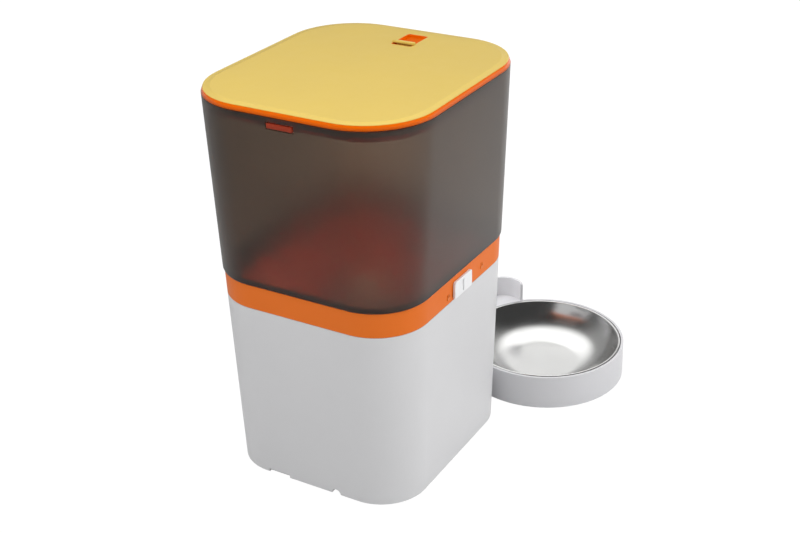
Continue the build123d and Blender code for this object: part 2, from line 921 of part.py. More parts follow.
def tank_lock():
    x = lock_face_x()
    z0 = lock_bottom_z()
    plate = RectangleRounded(lock_length, lock_height, lock_corner)
    low_edge = RectangleRounded(lock_length, lock_height / 2, lock_low_corner)
    face = Pos(lock_y, z0 + lock_height / 2) * plate + Pos(lock_y, z0 + lock_height / 4) * low_edge
    slider = along_x(face, -x - lock_proud, -x)
    grip = block(-x - lock_proud - lock_grip_proud, -x - lock_proud,
                 lock_y - lock_grip_width / 2, lock_y + lock_grip_width / 2,
                 z0 + lock_grip_margin, z0 + lock_height - lock_grip_margin)
    return slider + grip + lock_foot(lock_foot_y(), lock_foot_y(), 0)


def funnel_top():
    return between(band_bottom, band_top, ledge_top_z)


def funnel_start_inset():
    return band_wall + side_gap


def funnel_throat():
    """Inset of the funnel's mouth, clear of the band's ledge below it."""
    return funnel_start_inset() + band_ledge + funnel_wall + side_gap


def funnel_neck(extra):
    """A nearly round neck with corners like the outline's, so that the walls run straight to it."""
    size = 2 * (cup_radius + extra)
    return Pos(0, 0, neck_height) * RectangleRounded(size, size, size / 2 - neck_flat)


def funnel():
    flange_low = funnel_top()
    flange_high = between(band_bottom, band_top, flange_top_z)
    inset = funnel_start_inset()
    throat = funnel_throat()
    plate = tapered(flange_low, flange_high, inset) - tapered(flange_low, flange_high, throat)
    outer = loft([funnel_neck(funnel_wall), outline(flange_low, throat - funnel_wall)], ruled=True)
    inner = loft([funnel_neck(0), outline(flange_low, throat)], ruled=True)
    return plate + (outer - inner)


def funnel_seal():
    low = between(band_bottom, band_top, flange_top_z)
    high = between(band_bottom, band_top, spigot_bottom_z)
    return ring_wall(low, high, band_wall + side_gap, spigot_wall)


def rotor_cup():
    cup = tube(cup_outer_radius, cup_radius, cup_bottom_z, neck_height)
    cup += disc(cup_outer_radius, cup_bottom_z, cup_floor_top_z)
    cup -= outlet_cut(cup_bottom_z, cup_floor_top_z)
    return cup - disc(dog_flats / 2 + cup_bore_gap, cup_bottom_z, cup_floor_top_z)


def portion_guard():
    """Covers the rotor's pockets over the outlet, so that food only leaves by the pocketful."""
    low = neck_height - portion_guard_thickness
    half = outlet_width / 2 + portion_guard_side
    sector = tube(cup_radius, hub_radius + portion_guard_hub_gap, low, neck_height)
    return sector & block(-half, half, -cup_radius, -hub_radius / 2, low, neck_height)


def tank():
    walls = ring_wall(tank_bottom, tank_top, 0, tank_wall)
    low = between(band_bottom, band_top, spigot_bottom_z)
    spigot = ring_wall(low, band_top, band_wall + side_gap, spigot_wall)
    step = (band_top_z + spigot_wall, tank_bottom_width, tank_bottom_corner)
    spigot_middle = band_top_width / 2 - band_wall - side_gap - spigot_wall / 2
    shelf = sorted((tank_wall / 2, tank_bottom_width / 2 - spigot_middle))
    walls += spigot + ring_wall(tank_bottom, step, shelf[0], shelf[1] - shelf[0])
    back = lid_seam_width * plan_ratio / 2
    half = tongue_width / 2 + slot_gap
    slot = block(-half, half, back - 2 * tank_wall, back + cut_past,
                 tongue_bottom_z() - slot_gap, tongue_bottom_z() + tongue_thickness + slot_gap)
    half = bolt_width / 2 + slot_gap
    notch = block(-half, half, -back - cut_past, -back + 2 * tank_wall,
                  latch_bottom_z - slot_gap, lid_seam_z)
    return walls - slot - notch


# Rotor

def rotor_hub():
    hub = disc(hub_radius, rotor_bottom_z, rotor_bottom_z + hub_height)
    flats = RegularPolygon(dog_flats / 2 + side_gap, 6, major_radius=False)
    return hub - Pos(0, 0, rotor_bottom_z) * extrude(flats, amount=dog_height)


def rotor_vanes():
    """Rubber vanes in one sleeve, which fits round the hub."""
    low = rotor_bottom_z
    sleeve = tube(hub_radius + sleeve_wall, hub_radius, low, low + vane_height)
    vane = block(hub_radius + sleeve_wall / 2, cup_radius - rotor_side_gap,
                 -vane_thickness / 2, vane_thickness / 2, low, low + vane_height)
    for i in range(vane_count):
        sleeve += Rot(0, 0, (i + 0.5) * 360 / vane_count) * vane
    return sleeve


def agitator():
    low = rotor_bottom_z + hub_height
    half = agitator_bar / 2
    arm = block(-agitator_reach, agitator_reach, -half, half, low, low + agitator_bar)
    for side in (-1, 1):
        x = side * (agitator_reach - half)
        arm += disc(half, low, low + agitator_rise, x, 0)
    return arm + disc(agitator_boss_radius, low, low + agitator_bar + agitator_boss_rise)


# Lid

def tongue_bottom_z():
    return lid_seam_z - tongue_drop - tongue_thickness / 2


def skirt_inset():
    return tank_wall + skirt_gap


def skirt_inner_y():
    """Half depth inside the lid's skirt at the seam."""
    return lid_seam_width * plan_ratio / 2 - skirt_inset() - skirt_wall


def latch_bar_front():
    """How far forward the latch's bar and its rails reach."""
    return skirt_inner_y() - latch_bar_setback


def lid_rim():
    rim = tapered(lid_seam, lid_top)
    tray = between(lid_seam, lid_top, tray_top_z)
    rim -= tapered(tray, lid_top, lid_plate_border)
    skirt_low = between(tank_bottom, lid_seam, skirt_bottom_z)
    rim += ring_wall(skirt_low, lid_seam, skirt_inset(), skirt_wall)
    seam_end = lid_seam_width * plan_ratio / 2
    rim += block(-tongue_width / 2, tongue_width / 2, skirt_inner_y(), seam_end + tongue_proud,
                 tongue_bottom_z(), tongue_bottom_z() + tongue_thickness)
    half = bolt_width / 2 + side_gap
    rim -= block(-half, half, -seam_end, cut_past - skirt_inner_y(),
                 latch_bottom_z - side_gap, lid_seam_z)
    inner = latch_bar_width / 2 + side_gap
    outer = inner + rail_width
    stop = -latch_bar_back + spring_length
    guide = block(-outer, outer, -latch_bar_front(), stop + spring_stop, latch_cover_top_z, lid_seam_z)
    rim += guide - block(-inner, inner, -latch_bar_front(), stop, latch_cover_top_z, lid_seam_z)
    half = stem_width / 2 + side_gap
    slot_back = -ridge_front + stem_thickness + latch_travel + side_gap
    return rim - block(-half, half, -ridge_front - side_gap, slot_back, lid_seam_z, tray_top_z)


def lid_plate():
    low = between(lid_seam, lid_top, tray_top_z)
    plate = tapered(low, lid_top, lid_plate_border)
    half = latch_window_width / 2
    return plate - block(-half, half, -latch_window_front, -latch_window_back, tray_top_z, lid_top_z)


def lid_gasket():
    high_z = lid_seam_z - gasket_drop
    low_z = high_z - gasket_height
    low = between(tank_bottom, lid_seam, low_z)
    high = between(tank_bottom, lid_seam, high_z)
    ring = ring_wall(low, high, skirt_inset() - gasket_proud, gasket_proud)
    reach = lid_seam_width * plan_ratio / 2
    half = bolt_width / 2 + slot_gap + gasket_bolt_gap
    ring -= block(-half, half, -reach, 0, low_z, high_z)
    half = tongue_width / 2 + slot_gap + gasket_tongue_gap
    return ring - block(-half, half, 0, reach, low_z, high_z)


def latch_slider():
    front = -latch_bar_front()
    bar = block(-latch_bar_width / 2, latch_bar_width / 2, front, -latch_bar_back,
                latch_bottom_z, latch_top_z)
    bolt = block(-bolt_width / 2, bolt_width / 2, front - bolt_length, front,
                 latch_bottom_z, latch_top_z)
    stem = block(-stem_width / 2, stem_width / 2, -ridge_front, -ridge_front + stem_thickness,
                 latch_top_z, lid_top_z + seat_gap)
    return bar + bolt + stem


def latch_grip():
    """The raised finger ridge on top of the slider's stem."""
    low = lid_top_z + seat_gap
    ridge = block(-ridge_width / 2, ridge_width / 2, -ridge_front, -ridge_front + ridge_depth,
                  low, low + ridge_height)
    return fillet(ridge.edges().group_by(Axis.Z)[-1], ridge_round)


def latch_cover():
    stop = -latch_bar_back + spring_length + spring_stop
    half = latch_bar_width / 2 + side_gap + rail_width
    return block(-half, half, -latch_bar_front(), stop, latch_cover_bottom_z, latch_cover_top_z)


def latch_spring():
    """A coil along Y between the slider's end and its stop."""
    end = spring_wire + spring_end_gap
    rise = spring_length - 2 * end
    path = Helix(pitch=rise / spring_turns, height=rise, radius=spring_radius)
    section = Plane(origin=path @ 0, z_dir=path % 0) * Circle(spring_wire)
    middle_z = (latch_top_z + latch_bottom_z) / 2
    return Pos(0, end - latch_bar_back, middle_z) * Rot(-90, 0, 0) * sweep(section, path=path)


def desiccant_case():
    low = lid_seam_z - desiccant_height
    case = disc(case_radius, low, lid_seam_z, 0, desiccant_y)
    return case - disc(case_radius - desiccant_wall, low, lid_seam_z - desiccant_wall, 0, desiccant_y)


def desiccant_cap():
    high = lid_seam_z - desiccant_height
    low = high - desiccant_wall
    spigot = case_radius - desiccant_wall - side_gap
    cap = disc(case_radius, low, high, 0, desiccant_y)
    cap += tube(spigot, spigot - desiccant_wall, high, high + cap_spigot, 0, desiccant_y)
    vent = block(vent_reach - vent_length / 2, vent_reach + vent_length / 2,
                 -vent_width / 2, vent_width / 2, low, high)
    for i in range(vent_count):
        cap -= Pos(0, desiccant_y, 0) * Rot(0, 0, 360 * i / vent_count) * vent
    return cap


def desiccant_bag():
    low = lid_seam_z - desiccant_height + cap_spigot + bag_gap
    high = lid_seam_z - desiccant_wall - seat_gap
    return disc(case_radius - desiccant_wall - 2 * bag_gap, low, high, 0, desiccant_y)


# Bowl and stand, drawn round the bowl's own axis

def lobe_centre():
    angle = radians(lobe_direction)
    return lobe_reach * cos(angle), lobe_reach * sin(angle)


def bowl_stand():
    height = stand_height - pad_proud
    drum = Pos(0, 0, pad_proud) * Cone(stand_radius, stand_top_radius, height, align=lowest)
    lx, ly = lobe_centre()
    ledge = bowl_rim_height - bowl_sheet - seat_gap
    lobe = disc(lobe_radius, pad_proud, ledge, lx, ly)
    inside = disc(bowl_rim_radius - bowl_flange + side_gap, pad_proud + stand_floor, stand_height)
    groove_inner = bowl_rim_radius - bowl_sheet - side_gap
    groove_low = bowl_rim_height - bowl_roll - seat_gap
    groove = tube(bowl_rim_radius + side_gap, groove_inner, groove_low, stand_height)
    above = disc(bowl_rim_radius + side_gap, ledge, bowl_rim_height)
    hollow = disc(lobe_radius - guard_wall, 0, ledge - guard_wall, lx, ly)
    hollow -= disc(stand_radius - guard_wall, 0, ledge)
    stand = drum + lobe - inside - groove - above - hollow
    pad_outer, pad_inner = pad_radii()
    stand -= tube(pad_outer + side_gap, pad_inner - side_gap, 0, 2 * pad_proud)
    return stand + stand_guard(lx, ly, ledge)


def pad_radii():
    outer = stand_radius - pad_inset
    return outer, outer - pad_width


def stand_guard(lx, ly, low):
    """The upstand round the lobe's outer half, with rounded top corners at its two ends."""
    wall = tube(lobe_radius, lobe_radius - guard_wall, low - guard_wall / 2, guard_top, lx, ly)
    bowl_side = stand_top_radius - guard_lap
    wall -= disc(bowl_side, 0, guard_top)
    end = sqrt(bowl_side ** 2 - lobe_radius ** 2)
    far = lobe_reach + lobe_radius + guard_corner + cut_past
    middle = (end + far) / 2
    side = Pos(middle, guard_top / 2) * RectangleRounded(far - end, guard_top, guard_corner)
    side += Pos(middle, guard_top / 4) * Rectangle(far - end, guard_top / 2)
    reach = lobe_radius + cut_past
    return wall & (Rot(0, 0, lobe_direction) * along_y(side, -reach, reach))


def stand_pad():
    outer, inner = pad_radii()
    return tube(outer, inner, 0, 2 * pad_proud)


def bowl_body(shift):
    """The solid of revolution under the bowl's wall, or with a shift of the sheet, above it."""
    rim = bowl_rim_radius - bowl_flange - shift
    floor_r = bowl_floor_radius - shift
    floor_z = bowl_floor_height + shift
    middle_r = (rim + floor_r) / 2 + bowl_belly
    middle_z = (bowl_rim_height + floor_z) / 2 - bowl_belly
    edges = [Line((0, 0, floor_z), (floor_r, 0, floor_z)),
             ThreePointArc((floor_r, 0, floor_z), (middle_r, 0, middle_z), (rim, 0, bowl_rim_height)),
             Line((rim, 0, bowl_rim_height), (0, 0, bowl_rim_height)),
             Line((0, 0, bowl_rim_height), (0, 0, floor_z))]
    return revolve(make_face(edges), axis=Axis.Z)


def steel_bowl():
    top = bowl_rim_height
    flange = tube(bowl_rim_radius, bowl_rim_radius - bowl_flange - bowl_sheet, top - bowl_sheet, top)
    roll = tube(bowl_rim_radius, bowl_rim_radius - bowl_sheet, top - bowl_roll, top)
    return bowl_body(0) + flange + roll - bowl_body(bowl_sheet)


def at_bowl(shape):
    return Pos(bowl_x, bowl_y, 0) * shape


base = {
    "base_shell": base_shell, "base_plate": base_plate, "foot_ring": foot_ring,
    "base_screws": base_screws, "rotor_well": rotor_well, "chute": chute,
    "outlet_alcove": outlet_alcove, "gearbox_case": gearbox_case, "output_gear": output_gear,
    "drive_shaft": drive_shaft, "drive_dog": drive_dog, "shaft_bush": shaft_bush,
    "motor_pinion": motor_pinion, "motor_shaft": motor_shaft, "motor": motor,
    "camera_window": camera_window, "camera_frame": camera_frame, "lens_barrel": lens_barrel,
    "lens_glass": lens_glass, "infrared_lights": infrared_lights, "status_light": status_light,
    "front_board": front_board, "feed_button": feed_button, "button_switch": button_switch,
    "speaker": speaker, "battery_box": battery_box, "battery_cells": battery_cells,
    "battery_contacts": battery_contacts, "battery_cover": battery_cover, "main_board": main_board,
    "board_chips": board_chips, "power_socket": power_socket,
}
upper = {
    "band": band, "tank_lock": tank_lock, "funnel": funnel, "funnel_seal": funnel_seal,
    "rotor_cup": rotor_cup, "portion_guard": portion_guard, "tank": tank, "rotor_hub": rotor_hub,
    "rotor_vanes": rotor_vanes, "agitator": agitator, "lid_rim": lid_rim, "lid_plate": lid_plate,
    "lid_gasket": lid_gasket, "latch_slider": latch_slider, "latch_grip": latch_grip,
    "latch_cover": latch_cover, "latch_spring": latch_spring, "desiccant_case": desiccant_case,
    "desiccant_cap": desiccant_cap, "desiccant_bag": desiccant_bag,
}
bowl_set = {"bowl_stand": bowl_stand, "stand_pad": stand_pad, "steel_bowl": steel_bowl}


def write(name, shape):
    """One file for each sub-part; a group of alike pieces goes in as a compound."""
    if isinstance(shape, list):
        shape = Compound(children=shape)
    export_step(shape, f"parts/{name}.step")


os.makedirs("parts", exist_ok=True)
for name, make in {**base, **upper}.items():
    write(name, make())
for name, make in bowl_set.items():
    write(name, at_bowl(make()))
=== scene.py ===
"""Camera pet feeder: mouldings, finishes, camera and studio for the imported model.

Run as a script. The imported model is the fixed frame, and every piece made here rides on one of its
bodies. All lengths are in metres. +Z is up, and the food outlet and its camera face -Y.
"""

import json
from math import pi, radians, sqrt

import bmesh
import bpy
from mathutils import Matrix, Vector


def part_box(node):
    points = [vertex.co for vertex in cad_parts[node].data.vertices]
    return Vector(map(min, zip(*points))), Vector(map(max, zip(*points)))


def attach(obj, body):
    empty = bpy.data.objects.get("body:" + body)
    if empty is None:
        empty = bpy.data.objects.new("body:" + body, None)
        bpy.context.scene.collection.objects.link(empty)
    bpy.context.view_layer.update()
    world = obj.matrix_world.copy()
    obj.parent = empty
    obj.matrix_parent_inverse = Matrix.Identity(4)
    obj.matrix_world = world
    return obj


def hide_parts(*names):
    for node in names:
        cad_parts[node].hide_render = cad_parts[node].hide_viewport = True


bl_info = {
    "name": "Camera Pet Feeder",
    "version": (1, 0, 0),
    "blender": (4, 5, 0),
    "location": "3D View > Sidebar > Feeder",
    "description": "Mouldings, finishes, camera and studio of a camera pet feeder",
    "category": "Object",
}

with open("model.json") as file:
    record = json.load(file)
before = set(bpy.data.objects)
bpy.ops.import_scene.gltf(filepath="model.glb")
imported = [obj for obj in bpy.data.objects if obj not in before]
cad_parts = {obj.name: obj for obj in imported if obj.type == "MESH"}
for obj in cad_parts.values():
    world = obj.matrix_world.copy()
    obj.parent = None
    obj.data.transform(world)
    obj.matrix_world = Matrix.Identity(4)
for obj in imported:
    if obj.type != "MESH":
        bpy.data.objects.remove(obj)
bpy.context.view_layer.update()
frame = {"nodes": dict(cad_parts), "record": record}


def middle(node):
    """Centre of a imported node's box."""
    low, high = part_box(node)
    return (low + high) / 2


def top_of(node):
    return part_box(node)[1].z


def foot_of(node):
    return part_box(node)[0].z


def width_of(node):
    low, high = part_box(node)
    return high.x - low.x


# Properties

def length(name, description, default):
    """A length that the sidebar shows in the scene's unit."""
    return bpy.props.FloatProperty(
        name=name, description=description, default=default, min=0.0, soft_max=0.4,
        precision=5, subtype="DISTANCE", unit="LENGTH")


def colour(name, description, default):
    return bpy.props.FloatVectorProperty(
        name=name, description=description, default=default, min=0.0, max=1.0, size=3,
        subtype="COLOR")


def vector(name, description, default, subtype, unit="NONE"):
    return bpy.props.FloatVectorProperty(
        name=name, description=description, default=default, size=3, subtype=subtype, unit=unit)


def strength(name, description, default, **more):
    """A number from nothing upwards."""
    return bpy.props.FloatProperty(
        name=name, description=description, default=default, min=0.0, **more)


def portion(name, description, default):
    return strength(name, description, default, max=1.0, subtype="FACTOR")


def power(name, description, default):
    return strength(name, description, default, subtype="POWER", unit="POWER")


class FeederSizes(bpy.types.PropertyGroup):
    """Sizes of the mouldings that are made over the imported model"""

    plan_ratio: strength("Depth to width", "Depth of the plan outline over its width", 1.129)
    tank_foot_width: length("Tank width, bottom", "Width of the tank at the band", 0.1970)
    tank_foot_corner: length("Tank corner, bottom", "Corner radius of the tank at the band", 0.0491)
    lid_seam_width: length("Lid seam width", "Width of tank and lid at their seam", 0.2110)
    lid_seam_corner: length("Lid seam corner", "Corner radius at the seam", 0.0612)
    lid_seam_z: length("Lid seam height", "Height of the seam of tank and lid", 0.3552)
    lid_top_width: length("Lid top width", "Width of the lid's top edge", 0.2072)
    lid_top_corner: length("Lid top corner", "Corner radius of the lid's top edge", 0.0579)
    lid_top_z: length("Lid height", "Height of the lid's top", top_of("lid_plate"))
    tank_foot_z: length("Tank foot height", "Height where tank meets band", top_of("band"))
    tank_rim_z: length("Tank rim height", "Height of the tank's rim", top_of("tank"))
    tank_wall: length("Tank wall", "Wall of the tank", 0.0025)
    tank_foot_round: length("Tank foot round", "Round of the tank's lower edge", 0.0022)
    tank_rim_round: length("Tank rim round", "Round of the tank's upper edges", 0.0008)
    spigot_foot_z: length("Spigot foot height", "Height of the spigot's lower end", foot_of("tank"))
    spigot_inset: length("Spigot inset", "Inset of the spigot from the band's outside", 0.0048)
    spigot_wall: length("Spigot wall", "Wall of the spigot that stands in the band", 0.0022)
    spigot_round: length("Spigot round", "Round of the spigot's lower edges", 0.0004)
    shelf_round: length("Shelf round", "Round of the shelf's inner edge", 0.0005)
    band_top_width: length("Band width, top", "Width of the band's top edge", 0.1948)
    band_top_corner: length("Band corner, top", "Corner radius of the band's top edge", 0.0483)
    tongue_slot_half: length("Tongue slot", "Half the width of the hinge tongue's slot", 0.0132)
    tongue_slot_low: length("Tongue slot foot", "Height of the slot's lower side", 0.3445)
    tongue_slot_high: length("Tongue slot top", "Height of the slot's upper side", 0.3509)
    bolt_notch_half: length("Bolt notch", "Half the width of the latch bolt's notch", 0.0072)
    bolt_notch_low: length("Bolt notch foot", "Height of the notch's lower side", 0.3491)
    rim_drop: length("Rim drop", "Drop of the orange rim under the plate's lip", 0.0010)
    rim_round: length("Rim round", "Round of the orange rim's upper edge", 0.0003)
    tongue_slim: length("Tongue slimming", "Rise of the hinge tongue's underside", 0.0014)
    tongue_round: length("Tongue round", "Round of the hinge tongue's edges", 0.0007)
    tray_z: length("Lid tray height", "Height of the tray under the plate", foot_of("lid_plate"))
    plate_inset: length("Plate inset", "Inset of the plate's foot in the orange rim", 0.0010)
    plate_lip: length("Plate lip", "Inset of the plate's lip that covers the rim", 0.0003)
    plate_lip_gap: length("Plate lip gap", "Gap between the lip and the rim", 0.0001)
    plate_lip_round: length("Plate lip round", "Round of the plate's outer edge", 0.00038)
    plate_border: length("Plate border", "Width of the lower border round the plate", 0.0048)
    plate_step: length("Plate step", "Drop of that border", 0.0005)
    plate_slope: length("Plate slope", "Width of the slope up from that border", 0.0006)
    plate_flat: length("Plate flat", "Width of the level strip along each edge", 0.0008)
    window_front: length("Latch window front", "Front edge's distance from the centre", 0.1010)
    window_back: length("Latch window back", "Back edge's distance from the centre", 0.0705)
    window_width: length("Latch window width", "Width of the finger latch's window", 0.0186)
    window_corner: length("Latch window corner", "Corner radius of the window", 0.0010)
    window_round: length("Latch window round", "Round of the window's upper edge", 0.0003)
    gate_radius: length("Gate mark radius", "Radius of the moulding mark on the plate", 0.0011)
    gate_depth: length("Gate mark depth", "Thickness of the moulding mark", 0.0004)
    gate_sink: length("Gate mark sink", "How far its middle lies under the plate's top", 0.00008)
    mark_size: length("Lock mark size", "Height of the lock marks on the band", 0.0050)
    mark_proud: length("Lock mark height", "How far the lock marks stand out", 0.00012)
    mark_depth: length("Lock mark depth", "How far the lock marks reach into the band", 0.0006)
    mark_round: length("Lock mark round", "Round of the lock marks' edges", 0.00008)
    ridge_lean: length("Ridge lean", "Shift of the finger ridge to the lid's middle", 0.0020)
    ridge_round: length("Ridge round", "Round of the finger ridge's top", 0.0013)
    ridge_corner: length("Ridge corner", "Round of the finger ridge's upright edges", 0.0005)
    bowl_rim_radius: length("Bowl rim radius", "Outside radius of the bowl's rolled rim",
                            width_of("steel_bowl") / 2 - 0.0006)
    bowl_rim_z: length("Bowl rim height", "Height of the bowl's rim", top_of("steel_bowl"))
    bowl_floor_z: length("Bowl floor height", "Underside of the bowl", foot_of("steel_bowl"))
    bowl_floor_radius: length("Bowl floor radius", "Radius of the bowl's flat floor", 0.0340)
    bowl_sheet: length("Bowl sheet", "Thickness of the bowl's steel", 0.0008)
    bowl_bead: length("Bowl bead", "Width of the bowl's rolled bead", 0.0028)
    bowl_bead_rise: length("Bowl bead rise", "Height of the bead's round", 0.0012)
    bowl_hem: length("Bowl hem", "How far the hem hangs under the rim's top", 0.0030)


class FeederColours(bpy.types.PropertyGroup):
    """Colours of the mouldings"""

    shell: colour("Shell", "White of the base", (0.68, 0.68, 0.69))
    stand: colour("Stand", "White of the bowl stand", (0.67, 0.67, 0.69))
    lock: colour("Lock", "Brighter white of the tank lock", (0.86, 0.86, 0.87))
    band: colour("Band", "Orange of the band between base and tank", (0.80, 0.175, 0.022))
    mark: colour("Lock marks", "Deeper orange of the lock marks", (0.74, 0.190, 0.025))
    rim: colour("Lid rim", "Orange of the lid's rim", (0.84, 0.135, 0.0))
    # Painted shade for the orange skirt and hinge tongue below the seam, which lie in the tank's
    # slot and behind its smoke
    tongue: colour("Skirt and tongue", "Brown red under the lid's seam", (0.28, 0.036, 0.016))
    plate: colour("Lid plate", "Yellow of the lid", (0.71, 0.51, 0.095))
    smoke: colour("Tank smoke", "Tint of the smoked tank", (0.46, 0.362, 0.285))
    # Painted light: the paler tint that bounced light sees of the tank, so more light reaches the
    # funnel inside than the smoke would let in
    painted_fill_tint: colour("Tank lining", "Paler tint of the tank for light that has bounced",
                   (0.92, 0.88, 0.84))
    funnel: colour("Funnel", "Red orange of the funnel", (0.92, 0.10, 0.030))
    steel: colour("Steel", "Colour of the bowl", (0.70, 0.70, 0.69))


class FeederStudio(bpy.types.PropertyGroup):
    """Camera and light"""

    camera_place: vector("Camera place", "Where the camera stands",
                         (-0.57180, 0.91144, 0.72096), "XYZ", "LENGTH")
    camera_right: vector("Camera right", "Direction of the picture's right side",
                         (-0.86667307, -0.49849624, -0.01947512), "DIRECTION")
    camera_up: vector("Camera up", "Direction of the picture's top",
                      (0.2110844, -0.40179805, 0.89106773), "DIRECTION")
    lens: strength("Lens", "Focal length on a 36 mm wide sensor", 60.58,
                   subtype="DISTANCE_CAMERA", unit="CAMERA")
    room: strength("Room light", "Strength of the soft light all round", 0.56)
    camera_side: portion("Camera side", "Share of the room light from behind the camera", 0.40)
    backdrop: portion("Backdrop", "Grey that gloss sees beyond the feeder", 0.38)
    ceiling: portion("Ceiling", "Grey that gloss sees behind and over the camera", 0.05)
    softbox: strength("Softbox", "Brightness of the patch that gloss sees overhead and beyond", 1.7)
    window: strength("Window", "Brightness of the patch that gloss sees level with the bowl", 1.4)
    glow: strength("Floor glow", "Brightness of the floor, a little over white", 1.10)
    glow_left: strength("Floor glow, left", "What gloss sees of it on the picture's left", 0.55)
    key: power("Top lamp", "Power of the soft lamp above", 4.9)
    side: power("Side lamp", "Power of the soft lamp on the lock side", 8.0)
    fill: power("Fill lamp", "Power of the soft lamp behind the feeder", 3.6)
    stand: power("Stand lamp", "Power of the low soft lamp that lights the bowl stand", 5.6)
    front: power("Front lamp", "Power of the soft lamp before the food outlet", 7.0)
    guard: power("Guard lamp", "Power of the small lamp between feeder and guard", 0.14)


# Mesh helpers

CLOSE = 1e-5
SPUN_MERGE = 2e-5
SHARP_DEGREES = 32.0
CORNER_ANGLE = 0.5
CUT_PAST = 0.002
TONGUE_UNDER_SEAM = 0.0020
RIM_OVER_FOOT = 0.010
GATE_MARK_PLACE = (-0.0063, 0.0103)

# Name, y, z, and how far the short leg of the shackle is lifted, as a share of the mark's size
LOCK_MARKS = (("lock_mark_closed", 0.0245, 0.1775, 0.0),
              ("lock_mark_open", -0.0375, 0.1800, 0.22))
LOCK_MARK_DROP = 0.16


def ends(edges):
    """Every vertex of some edges, once."""
    return list({v for e in edges for v in e.verts})


def outline_loop(bm, z, width, depth, corner, round_segments=14):
    """A level rounded rectangle, left in the mesh as one closed loop of edges."""
    places = ((-1, -1), (1, -1), (1, 1), (-1, 1))
    corners = [bm.verts.new((x * width / 2, y * depth / 2, z)) for x, y in places]
    known = set(bm.faces)
    bm.faces.new(corners)
    bmesh.ops.bevel(bm, geom=corners, offset=corner, offset_type="OFFSET",
                    segments=round_segments, profile=0.5, affect="VERTICES", material=-1)
    face = next(f for f in bm.faces if f not in known)
    edges = list(face.edges)
    bmesh.ops.delete(bm, geom=[face], context="FACES_ONLY")
    return edges


def between(low, high, z, inset=0.0):
    """Width, depth and corner at height z on the taper from low to high, moved inwards."""
    share = (z - low[0]) / (high[0] - low[0])
    width = low[1] + share * (high[1] - low[1])
    corner = low[2] + share * (high[2] - low[2])
    ratio = bpy.context.scene.feeder_sizes.plan_ratio
    return (z, width - 2 * inset, width * ratio - 2 * inset, corner - inset)


def sweep(bm, stations, closed=False):
    """Bridges outline loops in order. A station is an outline and the round of its edge.

    The loops stand one metre apart while they are bridged: loops in one plane can twist.
    """
    loops = [outline_loop(bm, float(at), *outline[1:]) for at, (outline, _) in enumerate(stations)]
    pairs = list(zip(loops, loops[1:]))
    if closed:
        pairs.append((loops[-1], loops[0]))
    for lower, upper in pairs:
        bmesh.ops.bridge_loops(bm, edges=lower + upper)
    for at, (outline, _) in enumerate(stations):
        bmesh.ops.translate(bm, vec=(0.0, 0.0, outline[0] - at), verts=ends(loops[at]))
    for edges, (_, radius) in zip(loops, stations):
        if radius:
            soften(bm, edges, radius)
    return loops


def soften(bm, edges, radius, segments=4):
    """Rounds edges."""
    bmesh.ops.bevel(bm, geom=edges, offset=radius, offset_type="OFFSET", segments=segments,
                    profile=0.5, affect="EDGES", clamp_overlap=True, material=-1)


def extruded(bm, edges, shift):
    """Carries a loop of edges along shift, and gives the loop at the far end."""
    made = bmesh.ops.extrude_edge_only(bm, edges=edges)["geom"]
    far = [v for v in made if isinstance(v, bmesh.types.BMVert)]
    bmesh.ops.translate(bm, vec=shift, verts=far)
    return [e for e in made
            if isinstance(e, bmesh.types.BMEdge) and all(v in far for v in e.verts)]


def block(bm, low, high, radius=0.0, segments=2):
    """A box by two corners, with its edges rounded."""
    made = bmesh.ops.create_cube(bm, size=1.0)["verts"]
    bmesh.ops.scale(bm, vec=Vector(high) - Vector(low), verts=made)
    bmesh.ops.translate(bm, vec=(Vector(low) + Vector(high)) / 2, verts=made)
    if radius:
        soften(bm, list({e for v in made for e in v.link_edges}), radius, segments)


def spun(bm, centre, steps):
    """Joins the runs of a profile and turns them once round the upright axis through centre."""
    bmesh.ops.remove_doubles(bm, verts=bm.verts, dist=SPUN_MERGE)
    bmesh.ops.spin(bm, geom=list(bm.verts) + list(bm.edges), cent=centre, axis=(0, 0, 1),
                   angle=2 * pi, steps=steps, use_merge=True)
    bmesh.ops.remove_doubles(bm, verts=bm.verts, dist=SPUN_MERGE)


def chain(bm, centre, points):
    """A run of edges through points given as radius and height."""
    verts = [bm.verts.new((centre.x + r, centre.y, z)) for r, z in points]
    for pair in zip(verts, verts[1:]):
        bm.edges.new(pair)


def arc(bm, centre, start, through, end, steps):
    """A round run of edges through three points given as radius and height."""
    a, b, c = (Vector(p) for p in (start, through, end))
    twice = 2 * (b - a).cross(c - a)
    u, v = (b - a).length_squared, (c - a).length_squared
    across = Vector(((c - a).y * u - (b - a).y * v, (b - a).x * v - (c - a).x * u))
    hub = a + across / twice
    seed = bm.verts.new((centre.x + a.x, centre.y, a.y))
    bmesh.ops.spin(bm, geom=[seed], cent=(centre.x + hub.x, centre.y, hub.y), axis=(0, 1, 0),
                   angle=(a - hub).angle_signed(c - hub), steps=steps)


def corner_edges(bm, wanted):
    """Edges where two faces meet at a corner, of those with every vertex wanted."""
    return [e for e in bm.edges if all(wanted(v) for v in e.verts)
            and len(e.link_faces) == 2 and e.calc_face_angle() > CORNER_ANGLE]


def placed_mesh(name, bm):
    """Turns a bmesh into an object of the scene."""
    mesh = bpy.data.meshes.new(name)
    bm.to_mesh(mesh)
    bm.free()
    made = bpy.data.objects.new(name, mesh)
    bpy.context.scene.collection.objects.link(made)
    return made


def piece(name, bm, material, body, stands_for=(), sharp=SHARP_DEGREES):
    """Turns a bmesh into a piece that rides on a body."""
    bmesh.ops.recalc_face_normals(bm, faces=bm.faces)
    made = placed_mesh(name, bm)
    made.data.shade_smooth()
    made.data.set_sharp_from_angle(angle=radians(sharp))
    made.data.materials.append(finish(material))
    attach(made, body)
    if stands_for:
        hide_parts(*stands_for)
    return made


